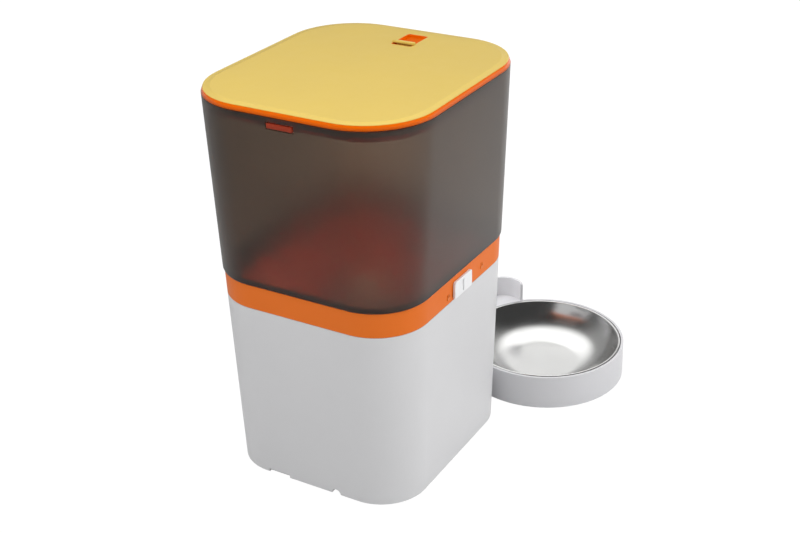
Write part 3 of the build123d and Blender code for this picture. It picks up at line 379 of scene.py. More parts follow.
def carve(target, *boxes):
    """Cuts boxes, each by two corners, out of a piece."""
    for low, high in boxes:
        bm = bmesh.new()
        block(bm, low, high)
        cutter = placed_mesh("cutter", bm)
        cut = target.modifiers.new("cut", "BOOLEAN")
        cut.operation = "DIFFERENCE"
        cut.solver = "EXACT"
        cut.object = cutter
        bpy.context.view_layer.update()
        graph = bpy.context.evaluated_depsgraph_get()
        carved = bpy.data.meshes.new_from_object(target.evaluated_get(graph))
        target.modifiers.clear()
        target.data = carved
        bpy.data.objects.remove(cutter)
    target.data.set_sharp_from_angle(angle=radians(SHARP_DEGREES))


# Shader helpers

def plug(tree, value, socket):
    """Links an output to a socket, or sets the socket's own value."""
    if isinstance(value, bpy.types.NodeSocket):
        tree.links.new(value, socket)
    else:
        socket.default_value = value


def add(tree, kind, inputs=None, **settings):
    """A new node with its settings, and with outputs or values in its inputs."""
    node = tree.nodes.new("ShaderNode" + kind)
    for name, value in settings.items():
        setattr(node, name, value)
    for name, value in (inputs or {}).items():
        plug(tree, value, node.inputs[name])
    return node


def combined(tree, operation, first, second):
    """The outcome of an operation on two outputs or values."""
    return add(tree, "Math", {0: first, 1: second}, operation=operation).outputs[0]


def spread(tree, source, low, high, out_low=0.0, out_high=1.0, **settings):
    """Maps a value's middle range to an output range."""
    return add(tree, "MapRange", {
        "Value": source, "From Min": low, "From Max": high, "To Min": out_low,
        "To Max": out_high}, **settings).outputs["Result"]


def towards(tree, place, direction, low, high, out_low, out_high):
    """Maps how far a place lies towards a direction to an output range, softly."""
    lean = add(tree, "VectorMath", {0: place, 1: direction}, operation="DOT_PRODUCT")
    return spread(tree, lean.outputs["Value"], low, high, out_low, out_high,
                  interpolation_type="SMOOTHSTEP")


def looking_rays(tree):
    """One for rays from the camera, from gloss and through glass, and nothing for the rest."""
    path = add(tree, "LightPath").outputs
    direct = combined(tree, "MAXIMUM", path["Is Camera Ray"], path["Is Glossy Ray"])
    return combined(tree, "MAXIMUM", direct, path["Is Transmission Ray"])


def noise(tree, scale, detail, roughness):
    """A noise on the piece's own coordinates."""
    place = add(tree, "TexCoord").outputs["Object"]
    return add(tree, "TexNoise", {"Vector": place, "Scale": scale, "Detail": detail,
                                  "Roughness": roughness}).outputs["Fac"]


def mixed(tree, share, first, second):
    """The mix of two colours."""
    return add(tree, "Mix", {"Factor": share, "A": first, "B": second},
               data_type="RGBA").outputs["Result"]


# Shader node groups

def node_group(name, inputs, outputs):
    """An empty shader group with named sockets, with its input sockets and its output node."""
    tree = bpy.data.node_groups.new(name, "ShaderNodeTree")
    for socket, kind, value in inputs:
        made = tree.interface.new_socket(name=socket, in_out="INPUT", socket_type=kind)
        if value is not None:
            made.default_value = value
    for socket, kind in outputs:
        tree.interface.new_socket(name=socket, in_out="OUTPUT", socket_type=kind)
    return tree, tree.nodes.new("NodeGroupInput").outputs, tree.nodes.new("NodeGroupOutput").inputs


def mould_grain_group():
    """The fine texture of a mould, as a height."""
    tree, given, out = node_group(
        "Mould Grain", [("Scale", "NodeSocketFloat", 900.0)], [("Height", "NodeSocketFloat")])
    plug(tree, noise(tree, given["Scale"], 3.0, 0.6), out["Height"])
    return tree


def tone_drift_group():
    """A slow drift between two near tones of one plastic."""
    tree, given, out = node_group(
        "Tone Drift",
        [("Tone", "NodeSocketColor", (0.8, 0.8, 0.8, 1.0)),
         ("Second Tone", "NodeSocketColor", (0.7, 0.7, 0.7, 1.0)),
         ("Amount", "NodeSocketFloat", 0.5), ("Scale", "NodeSocketFloat", 12.0)],
        [("Tone", "NodeSocketColor")])
    share = spread(tree, noise(tree, given["Scale"], 4.0, 0.55), 0.32, 0.68)
    much = combined(tree, "MULTIPLY", share, given["Amount"])
    plug(tree, mixed(tree, much, given["Tone"], given["Second Tone"]), out["Tone"])
    return tree


def sheen_drift_group():
    """Roughness that wanders a little, as handled plastic does."""
    tree, given, out = node_group(
        "Sheen Drift",
        [("Smooth", "NodeSocketFloat", 0.3), ("Dull", "NodeSocketFloat", 0.4),
         ("Scale", "NodeSocketFloat", 25.0)],
        [("Roughness", "NodeSocketFloat")])
    wander = noise(tree, given["Scale"], 5.0, 0.6)
    plug(tree, spread(tree, wander, 0.35, 0.65, given["Smooth"], given["Dull"]),
         out["Roughness"])
    return tree


def turned_rings_group():
    """Fine rings round an upright axis, as a height, from coordinates centred on it."""
    tree, given, out = node_group(
        "Turned Rings",
        [("Place", "NodeSocketVector", None), ("Scale", "NodeSocketFloat", 1500.0)],
        [("Height", "NodeSocketFloat")])
    flat = add(tree, "VectorMath", {0: given["Place"], 1: (1.0, 1.0, 0.0)}, operation="MULTIPLY")
    reach = add(tree, "VectorMath", {0: flat.outputs["Vector"]}, operation="LENGTH")
    lines = add(tree, "TexNoise", {"W": reach.outputs["Value"], "Scale": given["Scale"],
                                   "Detail": 5.0, "Roughness": 0.7}, noise_dimensions="1D")
    plug(tree, lines.outputs["Fac"], out["Height"])
    return tree


GROUPS = {
    "Mould Grain": mould_grain_group,
    "Tone Drift": tone_drift_group,
    "Sheen Drift": sheen_drift_group,
    "Turned Rings": turned_rings_group,
}


def placed(tree, name, **values):
    """Places a shared group in a material with its own values, and gives its outputs."""
    group = bpy.data.node_groups.get(name) or GROUPS[name]()
    node = add(tree, "Group", node_tree=group)
    for socket, value in values.items():
        plug(tree, value, node.inputs[socket.replace("_", " ")])
    return node.outputs


# Materials

EDGE_SOFTNESS = 0.0004
DRIFT_AMOUNT = 0.6
DRIFT_SCALE = 12.0
SHEEN_SCALE = 30.0


def blank(name):
    """A material with its Principled shader."""
    material = bpy.data.materials.new(name)
    material.use_nodes = True
    return material, material.node_tree, material.node_tree.nodes["Principled BSDF"]


def rgba(tone):
    return (*tone, 1.0)


def faded(tone, share):
    return [c * share for c in tone]


def add_surface(tree, shader, tone, second, sheen, grain, edge=EDGE_SOFTNESS,
                tone_scale=DRIFT_SCALE):
    """Colour drift, sheen drift, mould grain and softened edges, as every moulding has.

    Grain is the scale of the noise, then the strength and the distance of its bump.
    """
    drift = placed(tree, "Tone Drift", Tone=rgba(tone), Second_Tone=rgba(second),
                   Amount=DRIFT_AMOUNT, Scale=tone_scale)
    rough = placed(tree, "Sheen Drift", Smooth=sheen[0], Dull=sheen[1], Scale=SHEEN_SCALE)
    mould = placed(tree, "Mould Grain", Scale=grain[0])
    bump = add(tree, "Bump", {"Strength": grain[1], "Distance": grain[2],
                              "Height": mould["Height"]})
    if edge:
        rounded = add(tree, "Bevel", {"Radius": edge}, samples=4)
        plug(tree, rounded.outputs["Normal"], bump.inputs["Normal"])
    plug(tree, drift["Tone"], shader.inputs["Base Color"])
    plug(tree, rough["Roughness"], shader.inputs["Roughness"])
    plug(tree, bump.outputs["Normal"], shader.inputs["Normal"])


def add_bump(tree, shader, height, strength_of, distance):
    """Lays a bump over the shader's normal."""
    under = shader.inputs["Normal"].links[0].from_socket
    bump = add(tree, "Bump", {"Strength": strength_of, "Distance": distance, "Height": height,
                              "Normal": under})
    plug(tree, bump.outputs["Normal"], shader.inputs["Normal"])


def over(tree, shader, share, tone):
    """Lays a tone over the base colour by a share that changes over the surface."""
    under = shader.inputs["Base Color"].links[0].from_socket
    plug(tree, mixed(tree, share, under, rgba(tone)), shader.inputs["Base Color"])


def below(tree, level, soft):
    """One below a height on the piece, and nothing above it."""
    split = add(tree, "SeparateXYZ", {"Vector": add(tree, "TexCoord").outputs["Object"]})
    return spread(tree, split.outputs["Z"], level, level + soft, 1.0, 0.0)


def set_values(shader, values):
    """Sets the shader's own constant numbers."""
    for socket, value in values.items():
        shader.inputs[socket].default_value = value


def plastic(name, tone, second, sheen, grain, values=None, edge=EDGE_SOFTNESS):
    """A moulding. Tone is a colour or the name of one, and second is its darker tone's share."""
    material, tree, shader = blank(name)
    if isinstance(tone, str):
        tone = getattr(bpy.context.scene.feeder_colours, tone)
    add_surface(tree, shader, tone, faded(tone, second), sheen, grain, edge=edge)
    set_values(shader, values or {})
    return material


def lid_orange():
    """Gloss orange, with painted shade below the seam: brown red on the skirt and on the tongue that
    shows through the tank's slot.
    """
    material = plastic("Lid Orange Gloss", "rim", 0.93, (0.16, 0.24), (900.0, 0.04, 0.0002),
                       {"Specular IOR Level": 0.12}, edge=0.0006)
    tree = material.node_tree
    seam = bpy.context.scene.feeder_sizes.lid_seam_z
    # Painted shade: below the seam the orange turns brown red, where the skirt and tongue lie in the
    # slot and behind the smoked wall
    over(tree, tree.nodes["Principled BSDF"], below(tree, seam - 0.0002, 0.0004),
         bpy.context.scene.feeder_colours.tongue)
    return material


def smoked_tank():
    """Smoked plastic, darker on edge, with painted shade along its foot, and a paler tint for
    bounced light that fills its inside with painted light.
    """
    material, tree, shader = blank("Smoked Frosted Plastic")
    colours = bpy.context.scene.feeder_colours
    tone = colours.smoke
    add_surface(tree, shader, tone, faded(tone, 0.95), (0.43, 0.45), (1200.0, 0.02, 0.0002),
                edge=0.0)
    foot = bpy.context.scene.feeder_sizes.tank_foot_z
    # Painted shade: a near black band along the tank's foot, where its rounded lower edge meets the
    # band
    over(tree, shader, below(tree, foot + 0.0016, 0.0012), faded(tone, 0.05))
    facing = add(tree, "LayerWeight", {"Blend": 0.55})
    over(tree, shader, facing.outputs["Facing"], faded(tone, 0.06))
    # Painted light: bounced rays see the tank paler, which brightens its inside
    bounces = add(tree, "LightPath").outputs["Diffuse Depth"]
    over(tree, shader, combined(tree, "GREATER_THAN", bounces, 0.5), colours.painted_fill_tint)
    set_values(shader, {"IOR": 1.20, "Transmission Weight": 0.98, "Coat Weight": 0.5,
                        "Coat Roughness": 0.30})
    return material


def clear_lens():
    material, tree, shader = blank("Lens Glass")
    add_surface(tree, shader, (0.10, 0.12, 0.18), (0.16, 0.10, 0.20), (0.01, 0.04),
                (300.0, 0.01, 0.0001), edge=0.0, tone_scale=60.0)
    set_values(shader, {"IOR": 1.52, "Transmission Weight": 0.75, "Coat Weight": 1.0,
                        "Coat Tint": (0.70, 0.78, 1.0, 1.0)})
    return material


def led_clear():
    material, tree, shader = blank("Lamp Epoxy")
    add_surface(tree, shader, (0.74, 0.75, 0.80), (0.66, 0.66, 0.74), (0.06, 0.12),
                (500.0, 0.02, 0.0001), edge=0.0, tone_scale=200.0)
    set_values(shader, {"IOR": 1.53, "Transmission Weight": 0.6})
    return material


def turned_metal(name, tone, sheen, centre, scale=1500.0, edge=0.0003):
    """Metal with fine rings round the upright axis through centre."""
    material, tree, shader = blank(name)
    add_surface(tree, shader, tone, faded(tone, 0.93), sheen, (700.0, 0.02, 0.0001), edge=edge,
                tone_scale=30.0)
    centred = add(tree, "Mapping", {"Vector": add(tree, "TexCoord").outputs["Object"],
                                    "Location": (-centre.x, -centre.y, 0.0)})
    rings = placed(tree, "Turned Rings", Place=centred.outputs["Vector"], Scale=scale)
    add_bump(tree, shader, rings["Height"], 0.10, 0.0001)
    set_values(shader, {"Metallic": 1.0})
    return material


def board_green():
    """Solder mask over copper tracks."""
    material, tree, shader = blank("Board Green Mask")
    add_surface(tree, shader, (0.02, 0.16, 0.07), (0.015, 0.11, 0.05), (0.28, 0.36),
                (600.0, 0.05, 0.0001), edge=0.0)
    tracks = add(tree, "TexBrick", {"Vector": add(tree, "TexCoord").outputs["Object"],
                                    "Scale": 130.0, "Mortar Size": 0.06})
    add_bump(tree, shader, tracks.outputs["Fac"], 0.4, 0.0001)
    return material


COVERED = (1500.0, 0.15, 0.0002)

# Name, tone, share of the second tone, sheen, grain, and the shader's own values
PLASTICS = {
    "white_shell": ("White Housing Plastic", "shell", 0.965, (0.34, 0.42), (1400.0, 0.10, 0.0002),
                    {"IOR": 1.47, "Subsurface Weight": 0.05,
                     "Subsurface Radius": (0.002, 0.002, 0.002)}),
    "stand_white": ("Stand White Plastic", "stand", 0.96, (0.30, 0.40), (1400.0, 0.10, 0.0002),
                    {"IOR": 1.47}),
    "lock_white": ("Lock White Plastic", "lock", 0.97, (0.28, 0.36), (1400.0, 0.08, 0.0002)),
    "band_orange": ("Band Orange Plastic", "band", 0.94, (0.36, 0.46), (1500.0, 0.12, 0.0002),
                    {"Specular IOR Level": 0.12}),
    "band_orange_dark": ("Band Mark Orange", "mark", 0.90, (0.30, 0.40), (1500.0, 0.12, 0.0002),
                         {"Specular IOR Level": 0.22}),
    "lid_yellow": ("Lid Yellow Satin", "plate", 0.965, (0.33, 0.40), (1600.0, 0.10, 0.0002),
                   {"IOR": 1.46}),
    "funnel_orange": ("Funnel Red Orange Plastic", "funnel", 0.9, (0.30, 0.42),
                      (1300.0, 0.10, 0.0002)),
    "inner_grey": ("Inner Grey Plastic", (0.40, 0.40, 0.42), 0.88, (0.42, 0.52), COVERED),
    "black_plastic": ("Black Textured Plastic", (0.022, 0.022, 0.024), 0.88, (0.42, 0.55),
                      COVERED),
    "black_gloss": ("Black Gloss Plastic", (0.010, 0.010, 0.012), 0.88, (0.05, 0.10),
                    (300.0, 0.01, 0.0001)),
    "rubber_dark": ("Dark Rubber", (0.035, 0.035, 0.036), 0.88, (0.70, 0.85),
                    (800.0, 0.35, 0.0003)),
    "rubber_light": ("Pale Silicone", (0.66, 0.66, 0.63), 0.88, (0.50, 0.62),
                     (700.0, 0.20, 0.0002)),
    "gear_plastic": ("Natural Acetal", (0.80, 0.77, 0.68), 0.88, (0.32, 0.42), COVERED),
    "chip_black": ("Chip Epoxy", (0.020, 0.020, 0.020), 0.88, (0.45, 0.60), COVERED),
    "cell_wrap": ("Cell Wrap", (0.055, 0.060, 0.16), 0.88, (0.22, 0.30), (500.0, 0.05, 0.0001)),
    "desiccant_white": ("Desiccant Paper", (0.80, 0.79, 0.75), 0.88, (0.75, 0.9),
                        (420.0, 0.6, 0.0004)),
}
OTHERS = {
    "lid_orange": lid_orange,
    "smoked_tank": smoked_tank,
    "clear_lens": clear_lens,
    "led_clear": led_clear,
    "board_green": board_green,
    "steel": lambda: turned_metal(
        "Satin Bowl Steel", bpy.context.scene.feeder_colours.steel, (0.20, 0.27),
        middle("steel_bowl"), edge=0.0),
    "screw_steel": lambda: turned_metal(
        "Zinc Plated Steel", (0.62, 0.62, 0.60), (0.25, 0.38), Vector((0.0, 0.0, 0.0)), 700.0),
    "brass": lambda: turned_metal(
        "Sintered Brass", (0.70, 0.50, 0.22), (0.35, 0.50), middle("drive_shaft")),
    "motor_metal": lambda: turned_metal(
        "Motor Can Steel", (0.55, 0.55, 0.55), (0.24, 0.34), middle("motor_shaft")),
}
OWN_FINISH = {"tank_lock": "lock_white"}
made_finishes = {}


def finish(slot):
    """The material of a slot or of a piece's own finish, made when it is first used."""
    if slot not in made_finishes:
        made_finishes[slot] = plastic(*PLASTICS[slot]) if slot in PLASTICS else OTHERS[slot]()
    return made_finishes[slot]


# Operators

class FEEDER_OT_finishes(bpy.types.Operator):
    """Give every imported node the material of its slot"""

    bl_idname = "feeder.finishes"
    bl_label = "Finish Packed Parts"

    def execute(self, context):
        for part in frame["record"]["subparts"]:
            node = frame["nodes"][part["node"]]
            node.data.materials.clear()
            node.data.materials.append(
                finish(OWN_FINISH.get(part["node"], part["material_slot"])))
        return {"FINISHED"}


class FEEDER_OT_tank(bpy.types.Operator):
    """Make the smoked tank with its rounded foot, shelf and spigot"""

    bl_idname = "feeder.tank"
    bl_label = "Make Tank"

    def execute(self, context):
        s = context.scene.feeder_sizes
        low = (s.tank_foot_z, s.tank_foot_width, s.tank_foot_corner)
        high = (s.lid_seam_z, s.lid_seam_width, s.lid_seam_corner)
        inner = s.spigot_inset + s.spigot_wall
        shelf_z = s.tank_foot_z + s.spigot_wall

        def spigot(z, inset):
            return (z, s.band_top_width - 2 * inset,
                    s.band_top_width * s.plan_ratio - 2 * inset, s.band_top_corner - inset)

        bm = bmesh.new()
        sweep(bm, [
            (between(low, high, s.tank_foot_z), s.tank_foot_round),
            (between(low, high, s.tank_rim_z), s.tank_rim_round),
            (between(low, high, s.tank_rim_z, s.tank_wall), s.tank_rim_round),
            (between(low, high, shelf_z, s.tank_wall), 0.0),
            (spigot(shelf_z, inner), s.shelf_round),
            (spigot(s.spigot_foot_z, inner), s.spigot_round),
            (spigot(s.spigot_foot_z, s.spigot_inset), s.spigot_round),
            (spigot(s.tank_foot_z, s.spigot_inset), 0.0),
        ], closed=True)
        tank = piece("smoked_tank", bm, "smoked_tank", "hopper", ("tank",))
        back = s.lid_seam_width * s.plan_ratio / 2
        deep = 2 * s.tank_wall
        carve(tank,
              ((-s.tongue_slot_half, back - deep, s.tongue_slot_low),
               (s.tongue_slot_half, back + CUT_PAST, s.tongue_slot_high)),
              ((-s.bolt_notch_half, -back - CUT_PAST, s.bolt_notch_low),
               (s.bolt_notch_half, -back + deep, s.lid_seam_z)))
        return {"FINISHED"}


class FEEDER_OT_lid_plate(bpy.types.Operator):
    """Make the yellow lid plate with its soft border, latch window and moulding mark"""

    bl_idname = "feeder.lid_plate"
    bl_label = "Make Lid Plate"

    def execute(self, context):
        s = context.scene.feeder_sizes
        low = (s.lid_seam_z, s.lid_seam_width, s.lid_seam_corner)
        high = (s.lid_top_z, s.lid_top_width, s.lid_top_corner)
        edge_z = s.lid_top_z - s.plate_step
        lip_z = s.lid_top_z - s.rim_drop + s.plate_lip_gap
        flat = s.plate_inset + s.plate_border
        bm = bmesh.new()
        loops = sweep(bm, [
            (between(low, high, s.tray_z, s.plate_inset), 0.0),
            (between(low, high, lip_z, s.plate_inset), 0.0),
            (between(low, high, lip_z, s.plate_lip), 0.0),
            (between(low, high, edge_z, s.plate_lip), s.plate_lip_round),
            (between(low, high, edge_z, flat - s.plate_slope), 0.0),
            (between(low, high, s.lid_top_z, flat), 0.0),
            (between(low, high, s.lid_top_z, flat + s.plate_flat), 0.0),
        ])
        floor_hole, top_hole, around = self.cut_window(bm, s)
        for rim, hole in ((loops[0], floor_hole), (loops[-1], around)):
            bmesh.ops.triangle_fill(bm, use_beauty=True, use_dissolve=False, edges=rim + hole)
        soften(bm, top_hole, s.window_round, 2)
        plate = piece("lid_plate_yellow", bm, "lid_yellow", "lid", ("lid_plate",),
                      sharp=40.0)
        plate.data.materials.append(finish("lid_orange"))
        self.make_gate_mark(s)
        return {"FINISHED"}

    def cut_window(self, bm, s):
        """The window's orange walls, with a level strip round them at the top."""
        long = s.window_front - s.window_back
        floor_hole = outline_loop(bm, s.tray_z, s.window_width, long, s.window_corner,
                                  round_segments=4)
        around = outline_loop(bm, 1.0, s.window_width + 2 * s.plate_flat,
                              long + 2 * s.plate_flat, s.window_corner + s.plate_flat,
                              round_segments=4)
        bmesh.ops.translate(bm, vec=(0.0, -(s.window_front + s.window_back) / 2, 0.0),
                            verts=ends(floor_hole + around))
        known = set(bm.faces)
        top_hole = extruded(bm, floor_hole, (0.0, 0.0, s.lid_top_z - s.tray_z))
        for wall in set(bm.faces) - known:
            wall.material_index = 1
        bmesh.ops.bridge_loops(bm, edges=top_hole + around)
        bmesh.ops.translate(bm, vec=(0.0, 0.0, s.lid_top_z - 1.0), verts=ends(around))
        return floor_hole, top_hole, around

    def make_gate_mark(self, s):
        """The low round mark that moulding leaves near the plate's middle."""
        bm = bmesh.new()
        bmesh.ops.create_cone(bm, cap_ends=True, segments=32, radius1=s.gate_radius,
                              radius2=0.8 * s.gate_radius, depth=s.gate_depth)
        bmesh.ops.translate(bm, vec=(*GATE_MARK_PLACE, s.lid_top_z - s.gate_sink), verts=bm.verts)
        piece("plate_gate_mark", bm, "lid_yellow", "lid")


class FEEDER_OT_lid_rim(bpy.types.Operator):
    """Make the orange lid rim, lower under the plate's lip, with its hinge tongue slimmed"""

    bl_idname = "feeder.lid_rim"
    bl_label = "Make Lid Rim"

    def execute(self, context):
        s = context.scene.feeder_sizes
        low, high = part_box("lid_rim")
        bm = bmesh.new()
        bm.from_mesh(frame["nodes"]["lid_rim"].data)
        bmesh.ops.remove_doubles(bm, verts=bm.verts, dist=1e-6)
        top = [v for v in bm.verts if v.co.z > high.z - CLOSE]
        bmesh.ops.translate(bm, vec=(0.0, 0.0, -s.rim_drop), verts=top)
        wall = s.lid_seam_width * s.plan_ratio / 2 - 2 * s.tank_wall
        seam = s.lid_seam_z - TONGUE_UNDER_SEAM
        tongue = [v for v in bm.verts if v.co.y > wall and v.co.z < seam]
        foot = min(v.co.z for v in tongue)
        under = [v for v in tongue if v.co.z < foot + CLOSE]
        bmesh.ops.translate(bm, vec=(0.0, 0.0, s.tongue_slim), verts=under)
        soften(bm, corner_edges(bm, lambda v: v.co.y > high.y - CLOSE), s.tongue_round, 4)
        level = high.z - s.rim_drop
        rim = [e for e in corner_edges(bm, lambda v: abs(v.co.z - level) < CLOSE)
               if min(f.calc_center_median().z for f in e.link_faces) > low.z + RIM_OVER_FOOT]
        soften(bm, rim, s.rim_round, 2)
        piece("lid_rim_orange", bm, "lid_orange", "lid", ("lid_rim",))
        return {"FINISHED"}


class FEEDER_OT_lock_marks(bpy.types.Operator):
    """Make the small closed and open lock marks on the band"""

    bl_idname = "feeder.lock_marks"
    bl_label = "Make Lock Marks"

    def execute(self, context):
        s = context.scene.feeder_sizes
        size = s.mark_size
        band_foot, band_width = foot_of("band"), width_of("band")
        for name, y, z, lift in LOCK_MARKS:
            share = (z - band_foot) / (s.tank_foot_z - band_foot)
            face = band_width / 2 + share * (s.band_top_width - band_width) / 2
            foot = z - LOCK_MARK_DROP * size
            bm = bmesh.new()
            for y0, y1, z0, z1 in (
                    (-0.50, 0.50, 0.00, 0.55),
                    (-0.34, -0.18, 0.50, 0.92), (0.18, 0.34, 0.50 + lift, 0.92),
                    (-0.34, 0.34, 0.86, 1.02)):
                block(bm, (-face - s.mark_proud, y + y0 * size, foot + z0 * size),
                      (-face + s.mark_depth, y + y1 * size, foot + z1 * size), s.mark_round, 1)
            piece(name, bm, "band_orange_dark", "hopper")
        return {"FINISHED"}


class FEEDER_OT_latch_ridge(bpy.types.Operator):
    """Make the rounded finger ridge of the lid latch"""

    bl_idname = "feeder.latch_ridge"
    bl_label = "Make Latch Ridge"

    def execute(self, context):
        s = context.scene.feeder_sizes
        low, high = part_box("latch_grip")
        lean = Vector((0.0, s.ridge_lean, 0.0))
        bm = bmesh.new()
        block(bm, low + lean, high + lean)
        top = [e for e in bm.edges if all(v.co.z > high.z - CLOSE for v in e.verts)]
        soften(bm, top, s.ridge_round, 6)
        upright = [e for e in bm.edges if abs(e.verts[0].co.z - e.verts[1].co.z) > 0.0004]
        soften(bm, upright, s.ridge_corner, 3)
        piece("latch_ridge", bm, "lid_yellow", "latch", ("latch_grip",))
        return {"FINISHED"}


class FEEDER_OT_bowl(bpy.types.Operator):
    """Make the pressed steel bowl with its rolled bead"""

    bl_idname = "feeder.bowl"
    bl_label = "Make Bowl"

    def execute(self, context):
        s = context.scene.feeder_sizes
        centre = middle("steel_bowl")
        sheet = s.bowl_sheet
        floor_z = s.bowl_floor_z
        bead_z = s.bowl_rim_z - s.bowl_bead_rise
        hem_z = s.bowl_rim_z - s.bowl_hem
        rim = s.bowl_rim_radius
        inner = rim - s.bowl_bead
        inner_floor = (s.bowl_floor_radius, floor_z + sheet)
        outer_floor = (s.bowl_floor_radius, floor_z)
        inner_top = (inner, bead_z)
        outer_top = (inner + sheet, bead_z - 0.0006)

        def dish(low, high):
            """A point on the round that leaves the floor level at low and ends at high."""
            reach, rise = high[0] - low[0], high[1] - low[1]
            radius = (reach ** 2 + rise ** 2) / (2 * rise)
            out = 0.6 * reach
            return (low[0] + out, low[1] + radius - sqrt(radius ** 2 - out ** 2))

        bm = bmesh.new()
        chain(bm, centre, [(0.0, floor_z + sheet), inner_floor])
        arc(bm, centre, inner_floor, dish(inner_floor, inner_top), inner_top, 28)
        arc(bm, centre, inner_top, ((inner + rim) / 2, s.bowl_rim_z), (rim, bead_z), 8)
        chain(bm, centre, [(rim, bead_z), (rim, hem_z), (rim - sheet, hem_z),
                           (rim - sheet, bead_z - 0.0002),
                           ((inner + rim) / 2, s.bowl_rim_z - sheet), outer_top])
        arc(bm, centre, outer_top, dish(outer_floor, outer_top), outer_floor, 28)
        chain(bm, centre, [outer_floor, (0.0, floor_z)])
        spun(bm, centre, 128)
        piece("pressed_bowl", bm, "steel", "bowl", ("steel_bowl",), sharp=50.0)
        return {"FINISHED"}


class FEEDER_OT_stage(bpy.types.Operator):
    """Set the camera, the pale floor, the room and the soft lamps"""

    bl_idname = "feeder.stage"
    bl_label = "Set Stage"

    def execute(self, context):
        studio = context.scene.feeder_studio
        set_camera(studio)
        set_floor(studio)
        set_room(studio)
        for name, watts, place, aim, size in (
                ("Top Lamp", studio.key, (-0.08, 0.58, 1.02), (0.0, 0.05, 0.32), 0.5),
                ("Side Lamp", studio.side, (-1.45, -0.70, 1.00), (0.0, -0.10, 0.15), 0.8),
                ("Fill Lamp", studio.fill, (0.75, 1.55, 0.60), (0.0, 0.0, 0.15), 0.8),
                ("Stand Lamp", studio.stand, (-1.50, -0.02, 0.42), (-0.10, -0.14, 0.05), 0.7),
                ("Front Lamp", studio.front, (0.25, -1.50, 0.55), (0.0, -0.12, 0.12), 0.8),
                ("Guard Lamp", studio.guard, (0.03, -0.180, 0.15), (-0.03, -0.26, 0.03), 0.05)):
            soft_lamp(name, watts, place, aim, size)
        return {"FINISHED"}


def set_camera(studio):
    right = Vector(studio.camera_right).normalized()
    up = Vector(studio.camera_up).normalized()
    data = bpy.data.cameras.new("Picture Camera")
    data.lens = studio.lens
    data.sensor_width = 36.0
    data.sensor_fit = "HORIZONTAL"
    camera = bpy.data.objects.new("Picture Camera", data)
    bpy.context.scene.collection.objects.link(camera)
    turned = Matrix((right, up, right.cross(up))).transposed().to_4x4()
    camera.matrix_world = Matrix.Translation(Vector(studio.camera_place)) @ turned
    bpy.context.scene.camera = camera


def set_floor(studio):
    """A pale floor that shows white with a soft shadow. Gloss sees its left side darker."""
    bm = bmesh.new()
    bmesh.ops.create_grid(bm, x_segments=1, y_segments=1, size=4.0)
    floor = placed_mesh("floor", bm)
    material, tree, shader = blank("Pale Floor")
    set_values(shader, {"Base Color": (0.60, 0.60, 0.60, 1.0), "Roughness": 0.9,
                        "Specular IOR Level": 0.1})
    picture_right = (-0.87, -0.50, 0.0)
    fall = towards(tree, add(tree, "TexCoord").outputs["Object"], picture_right,
                   -0.4, 0.7, studio.glow_left, studio.glow)
    gloss = add(tree, "LightPath").outputs["Is Glossy Ray"]
    dimmed = add(tree, "Mix", {"Factor": gloss, "A": studio.glow, "B": fall})
    glow = add(tree, "Emission", {"Strength": dimmed.outputs["Result"]})
    share = combined(tree, "MULTIPLY", looking_rays(tree), 0.90)
    mix = add(tree, "MixShader", {"Fac": share, 1: shader.outputs["BSDF"],
                                  2: glow.outputs["Emission"]})
    plug(tree, mix.outputs["Shader"], tree.nodes["Material Output"].inputs["Surface"])
    floor.data.materials.append(material)


def set_room(studio):
    """Light all round, weaker from the camera's side. The camera and glass see the room white.

    Gloss sees a backdrop beyond the feeder, a dark ceiling, a softbox overhead and a window.
    """
    world = bpy.data.worlds.new("White Room")
    bpy.context.scene.world = world
    world.use_nodes = True
    tree = world.node_tree
    place = add(tree, "TexCoord").outputs["Generated"]
    dark_side = Vector((studio.camera_place[0], studio.camera_place[1], 0.0)).normalized()
    overhead = Vector((0.24, -0.42, 0.875)).normalized()
    level = Vector((0.0, -0.985, 0.17)).normalized()

    even = tree.nodes["Background"]
    even.inputs["Color"].default_value = (1.0, 1.0, 1.0, 1.0)
    plug(tree, towards(tree, place, dark_side, 0.10, 0.95, studio.room,
                       studio.room * studio.camera_side), even.inputs["Strength"])
    walls = towards(tree, place, dark_side, -0.55, 0.10, studio.backdrop, studio.ceiling)
    softbox = towards(tree, place, overhead, 0.76, 0.93, 0.0, studio.softbox)
    window = towards(tree, place, level, 0.93, 0.985, 0.0, studio.window)
    bright = combined(tree, "MAXIMUM", combined(tree, "MAXIMUM", walls, softbox), window)
    gloss = add(tree, "LightPath").outputs["Is Glossy Ray"]
    shown = add(tree, "Mix", {"Factor": gloss, "A": 1.0, "B": bright})
    white = add(tree, "Background", {"Color": (1.0, 1.0, 1.0, 1.0),
                                     "Strength": shown.outputs["Result"]})
    mix = add(tree, "MixShader", {"Fac": looking_rays(tree), 1: even.outputs["Background"],
                                  2: white.outputs["Background"]})
    plug(tree, mix.outputs["Shader"], tree.nodes["World Output"].inputs["Surface"])
    bpy.context.scene.view_settings.view_transform = "Standard"


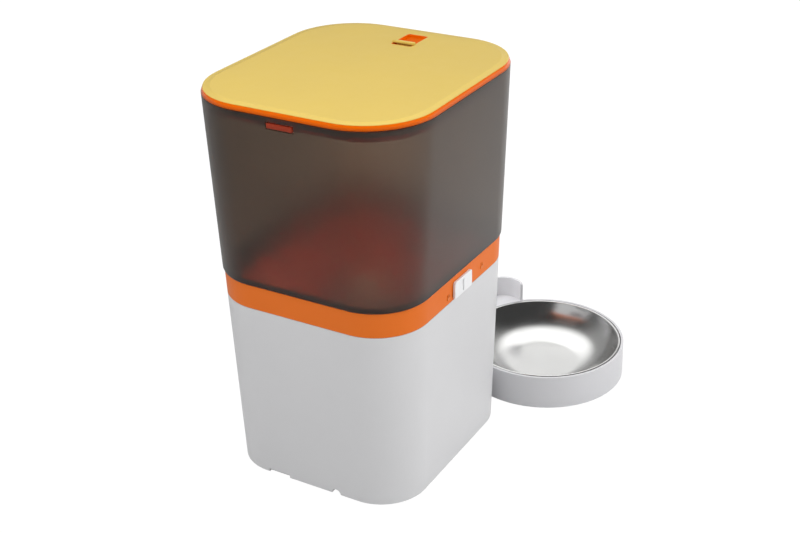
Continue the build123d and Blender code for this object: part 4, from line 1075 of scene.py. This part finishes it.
def soft_lamp(name, watts, place, aim, size):
    """A square lamp that gloss and the camera don't see."""
    data = bpy.data.lights.new(name, "AREA")
    data.energy = watts
    data.shape = "SQUARE"
    data.size = size
    lamp = bpy.data.objects.new(name, data)
    bpy.context.scene.collection.objects.link(lamp)
    lamp.location = place
    lamp.rotation_mode = "QUATERNION"
    lamp.rotation_quaternion = (Vector(aim) - Vector(place)).to_track_quat("-Z", "Y")
    lamp.visible_glossy = False
    lamp.visible_camera = False


class FEEDER_PT_sidebar(bpy.types.Panel):
    """Lists the feeder's sizes, colours, studio and makers"""

    bl_idname = "FEEDER_PT_sidebar"
    bl_label = "Camera Pet Feeder"
    bl_space_type = "VIEW_3D"
    bl_region_type = "UI"
    bl_category = "Feeder"

    def draw(self, context):
        layout = self.layout
        for heading, group in (("Sizes", context.scene.feeder_sizes),
                               ("Colours", context.scene.feeder_colours),
                               ("Studio", context.scene.feeder_studio)):
            column = layout.column(heading=heading)
            for name in group.__annotations__:
                column.prop(group, name)
        for operator in OPERATORS:
            layout.operator(operator.bl_idname)


OPERATORS = (
    FEEDER_OT_finishes,
    FEEDER_OT_tank,
    FEEDER_OT_lid_plate,
    FEEDER_OT_lid_rim,
    FEEDER_OT_lock_marks,
    FEEDER_OT_latch_ridge,
    FEEDER_OT_bowl,
    FEEDER_OT_stage,
)
CLASSES = (FeederSizes, FeederColours, FeederStudio, *OPERATORS, FEEDER_PT_sidebar)


def register():
    for cls in CLASSES:
        bpy.utils.register_class(cls)
    bpy.types.Scene.feeder_sizes = bpy.props.PointerProperty(type=FeederSizes)
    bpy.types.Scene.feeder_colours = bpy.props.PointerProperty(type=FeederColours)
    bpy.types.Scene.feeder_studio = bpy.props.PointerProperty(type=FeederStudio)


def unregister():
    del bpy.types.Scene.feeder_studio
    del bpy.types.Scene.feeder_colours
    del bpy.types.Scene.feeder_sizes
    for cls in reversed(CLASSES):
        bpy.utils.unregister_class(cls)


def main():
    register()
    for operator in OPERATORS:
        group, name = operator.bl_idname.split(".")
        getattr(getattr(bpy.ops, group), name)()


if __name__ == "__main__":
    main()
